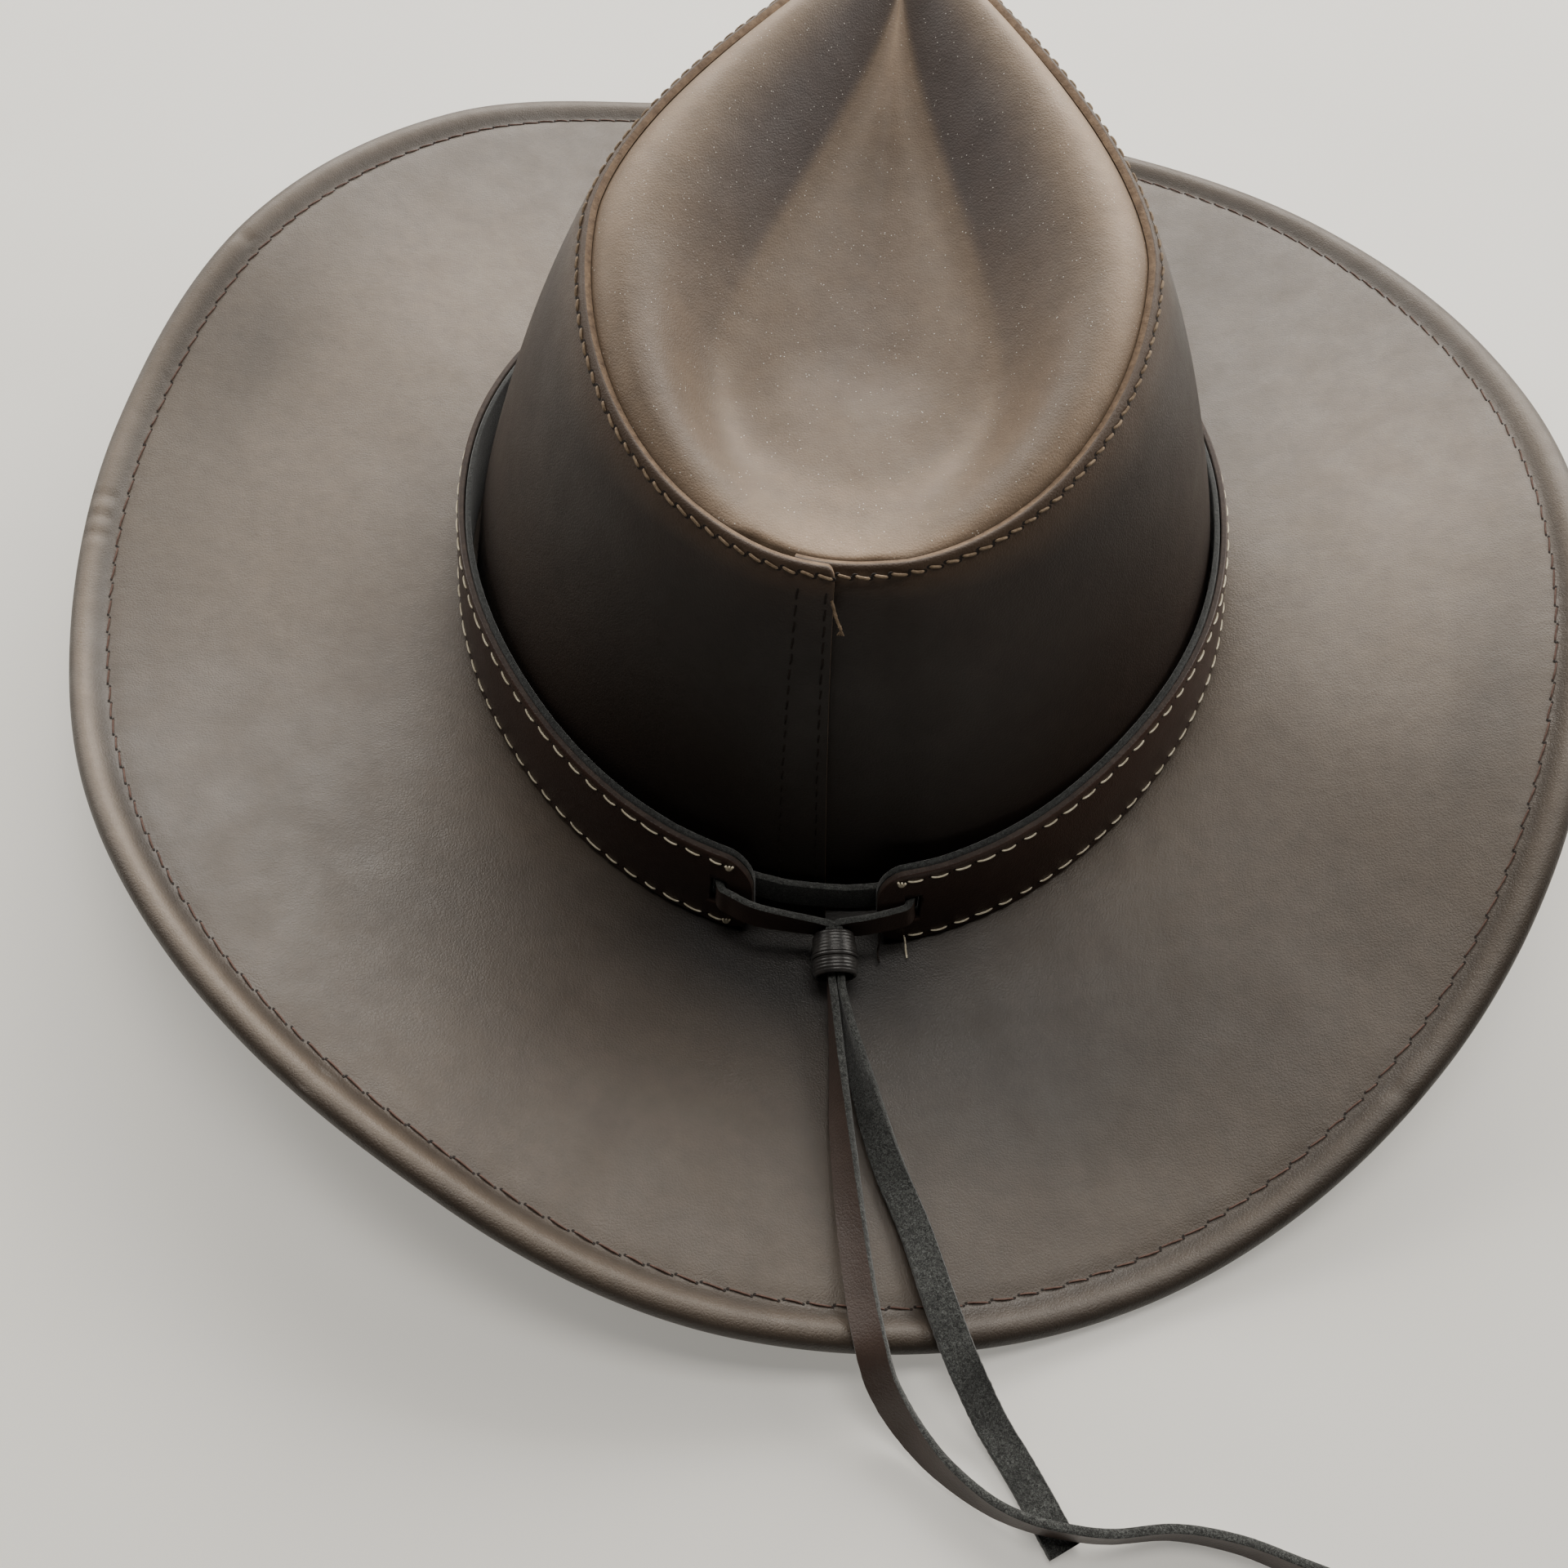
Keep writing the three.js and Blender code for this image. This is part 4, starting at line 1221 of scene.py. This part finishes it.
def crown_tip(material):
    angles = np.linspace(0, 360, 300, endpoint=False)
    places = np.concatenate([np.linspace(0, 0.75, 4), np.linspace(1, 4.96, 100)])
    outer = tip_surface(angles, places)
    crest = hill(places[4:], 2, 0.5)[None, :, None]
    outer[:, 4:] = soften(outer[:, 4:], 7) * crest + soften(outer[:, 4:], 3) * (1 - crest)
    inner = outer - ring_normals(outer) * CROWN_LEATHER
    rows, columns = outer.shape[:2]
    faces = quads(rows, columns, wrap_rows=True)
    faces += [[i + rows * columns for i in f] for f in faces]
    for i in range(rows):
        j = (i + 1) % rows
        faces.append([i * columns, j * columns, (rows + j) * columns, (rows + i) * columns])
    faces.append([i * columns + columns - 1 for i in range(rows)])
    faces.append([(rows + i) * columns + columns - 1 for i in range(rows)])
    tone = tip_tone(angles[:, None], places)
    made = piece("crown_tip_fine", [outer, inner], faces, [material], tone=[tone, tone])
    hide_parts("crown_tip")
    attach(made, "root")


def tip_stitches(material, hole):
    angles = np.linspace(LAP_ANGLE - 360, LAP_ANGLE, 720)
    ups = 1 - TIP_STITCH_DROP / (seam_point(angles) - crown_foot(angles))[:, 2]
    normals = side_normal(angles, ups)
    line = side_wall(angles, ups, 0.0) + normals * lap_rise(LAP_ANGLE - angles)[:, None]
    stitch_row("tip_stitches", line, normals, SEAMS["tip"], material, hole)


def lap_stitches(material):
    ups = np.linspace(0.02, 0.955, 160)
    for name, inset in LAP_STITCH_INSETS.items():
        angle = LAP_ANGLE - side_degrees(inset) + 0 * ups
        line = side_wall(angle, ups, LAP_LIFT)
        stitch_row(name, line, side_normal(angle, ups), SEAMS["lap"], material)


# The band


def band_layer(name, node, inner, thick, materials):
    """One layer of the band, its inner face standing at inner, with round tips and slots."""
    half = band_angle(BAND_OPENING / 2)
    start = BAND_MIDDLE + half
    length = 360 - 2 * half
    curl = band_angle(BAND_ROUND)
    tips = curl * (1 - np.cos(np.linspace(0, 1, 14) * np.pi / 2))
    along = np.concatenate([tips, np.linspace(curl, length - curl, 560)[1:-1], (length - tips)[::-1]])
    near = np.minimum(np.minimum(along, length - along) / curl, 1)
    tall = (0.3 + 0.7 * np.sqrt(1 - (1 - near) ** 2))[:, None]
    bevel = 0.18 * thick
    rim = bevel / BAND_WIDTH
    face = np.concatenate([[0, rim], np.linspace(0.06, 0.94, 9), [1 - rim, 1]])
    lift = np.full(len(face), thick)
    lift[[0, -1]] -= bevel
    ups = 0.5 + (np.concatenate([face, face[::-1]]) - 0.5) * tall
    outs = inner + np.concatenate([lift, thick - lift])[None]
    points = band_point(start + along[:, None], ups, outs)
    count = 2 * len(face)
    faces, slots = strip_faces(len(along), count, range(len(face) - 1, count))
    made = piece(name, points, faces, materials, slots, sharp=40)
    cut_slots(made)
    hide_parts(node)
    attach(made, "root")


def cut_slots(band):
    """Cuts the slots for the lace through a layer of the band."""
    thick = BAND_FACE + BAND_LINING
    half = [LACE_THICK / 2 + SLOT_CLEAR, 3 * thick, LACE_WIDTH / 2 + SLOT_CLEAR * 0.5]
    corners = [(x, y, z) for x in (-1, 1) for y in (-1, 1) for z in (-1, 1)]
    faces = [(0, 1, 3, 2), (4, 6, 7, 5), (0, 4, 5, 1), (2, 3, 7, 6), (0, 2, 6, 4), (1, 5, 7, 3)]
    for angle in slot_angles():
        out = outward(angle)
        axes = np.array([[out[1], -out[0], 0], out, [0, 0, 1]])
        centre = band_point(angle, 0.5, thick / 2)
        cutter = piece("cutter", centre + (np.array(corners) * half) @ axes, faces, [])
        modifier = band.modifiers.new("slot", "BOOLEAN")
        modifier.operation = "DIFFERENCE"
        modifier.solver = "EXACT"
        modifier.object = cutter
        bpy.context.view_layer.update()
        graph = bpy.context.evaluated_depsgraph_get()
        mesh = bpy.data.meshes.new_from_object(band.evaluated_get(graph))
        band.modifiers.clear()
        band.data = mesh
        bpy.data.objects.remove(cutter)


def band_stitches(material, hole):
    inset = BAND_STITCH_INSET / BAND_WIDTH
    away = band_angle(BAND_OPENING / 2 + BAND_STITCH_END)
    angles = np.linspace(BAND_MIDDLE + away, BAND_MIDDLE - away + 360, 700)
    for name, up in (("band_stitches_low", inset), ("band_stitches_high", 1 - inset)):
        line = band_point(angles, up, BAND_THICK)
        normals = normals_of(lambda a, u: band_point(a, u, BAND_THICK), angles, up, 0.3, 0.05)
        stitch_row(name, line, normals, SEAMS["band"], material, hole)


def hanging_thread(name, away, up, drops, material, radius):
    """A thread end that comes out near the band's end and falls by the given steps."""
    top = band_point(BAND_MIDDLE + band_angle(BAND_OPENING / 2 + away), up, BAND_THICK)
    return thread_end(name, [top] + [top + drop for drop in drops], material, radius)


def loose_threads(cream, tan, dark):
    """Thread ends at the lap and at the ends of the band's seams."""
    lap = [side_wall(LAP_ANGLE + row["angle"], row["up"], row["out"]) for row in LAP_END]
    made = [thread_end("lap_thread", lap, tan, LAP_THREAD)]
    for aside in (-0.0006, -0.0002, 0.0002, 0.0006):
        tip = [lap[-2] * 0.3 + lap[-1] * 0.7, lap[-1], lap[-1] + np.array([aside, -0.0004, -0.0011])]
        made.append(thread_end("lap_fray", tip, tan, LAP_FRAY))
    made.append(hanging_thread("cream_end", BAND_STITCH_END, 0.09, CREAM_DROPS, cream, CREAM_END))
    made.append(hanging_thread("dark_end", 0.0004, 0.2, DARK_DROPS, dark, DARK_END))
    for away, up in ((-0.0048, 0.9), (-BAND_STITCH_END, 0.1), (0.0048, 0.9)):
        angle = BAND_MIDDLE + np.sign(away) * band_angle(BAND_OPENING / 2 + abs(away))
        place = band_point(angle, up, BAND_THICK + 0.0001)
        for lean, shift in ((-0.35, -0.0004), (0.1, 0.0), (0.5, 0.0004)):
            run = np.array([lean, 0, 1]) * KNOT_REACH
            middle = place + np.array([shift, -0.0002, 0])
            turns = [middle - run, middle + [0, -0.0002, 0], middle + run]
            made.append(thread_end("knot", turns, cream, KNOT_THREAD))
    for thread in made:
        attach(thread, "root")


def main():
    add_camera()
    lace = [lace_leather(), suede("lace_suede", (0.014, 0.0145, 0.014), (0.115, 0.12, 0.115))]
    lace_tail("lace_tail_left", -1, TAIL_LEFT, lace, True)
    lace_tail("lace_tail_right", 1, TAIL_RIGHT, lace, False)
    lace_loop(lace)
    slide_bead(bead_material())
    hole = hole_material()
    tan = raw_edge("raw_edge_tan", (0.105, 0.065, 0.04), (0.29, 0.195, 0.12))
    brim(brim_leather())
    hem_stitches(thread_material("hem_thread", (0.085, 0.048, 0.038), (0.15, 0.09, 0.072)), hole)
    crown_side(crown_leather(), tan)
    crown_tip(tip_leather())
    tan_thread = thread_material("tan_thread", (0.12, 0.083, 0.052), (0.31, 0.23, 0.155))
    tip_stitches(tan_thread, hole)
    dark_thread = thread_material("dark_thread", (0.009, 0.006, 0.005), (0.02, 0.014, 0.011))
    lap_stitches(dark_thread)
    face_edge = raw_edge("face_edge", (0.02, 0.012, 0.01), (0.06, 0.04, 0.03))
    face = [band_leather(), face_edge]
    band_layer("band_face_fine", "band_face", BAND_LINING + GAP, BAND_FACE, face)
    lining = suede("lining_suede", (0.016, 0.017, 0.017), (0.08, 0.084, 0.082))
    band_layer("band_lining_fine", "band_lining", 0.0, BAND_LINING, [lining, lining])
    cream_thread = thread_material("cream_thread", (0.5, 0.44, 0.32), (0.78, 0.72, 0.56))
    band_stitches(cream_thread, hole)
    loose_threads(cream_thread, tan_thread, dark_thread)
    add_floor()
    add_lights()


main()
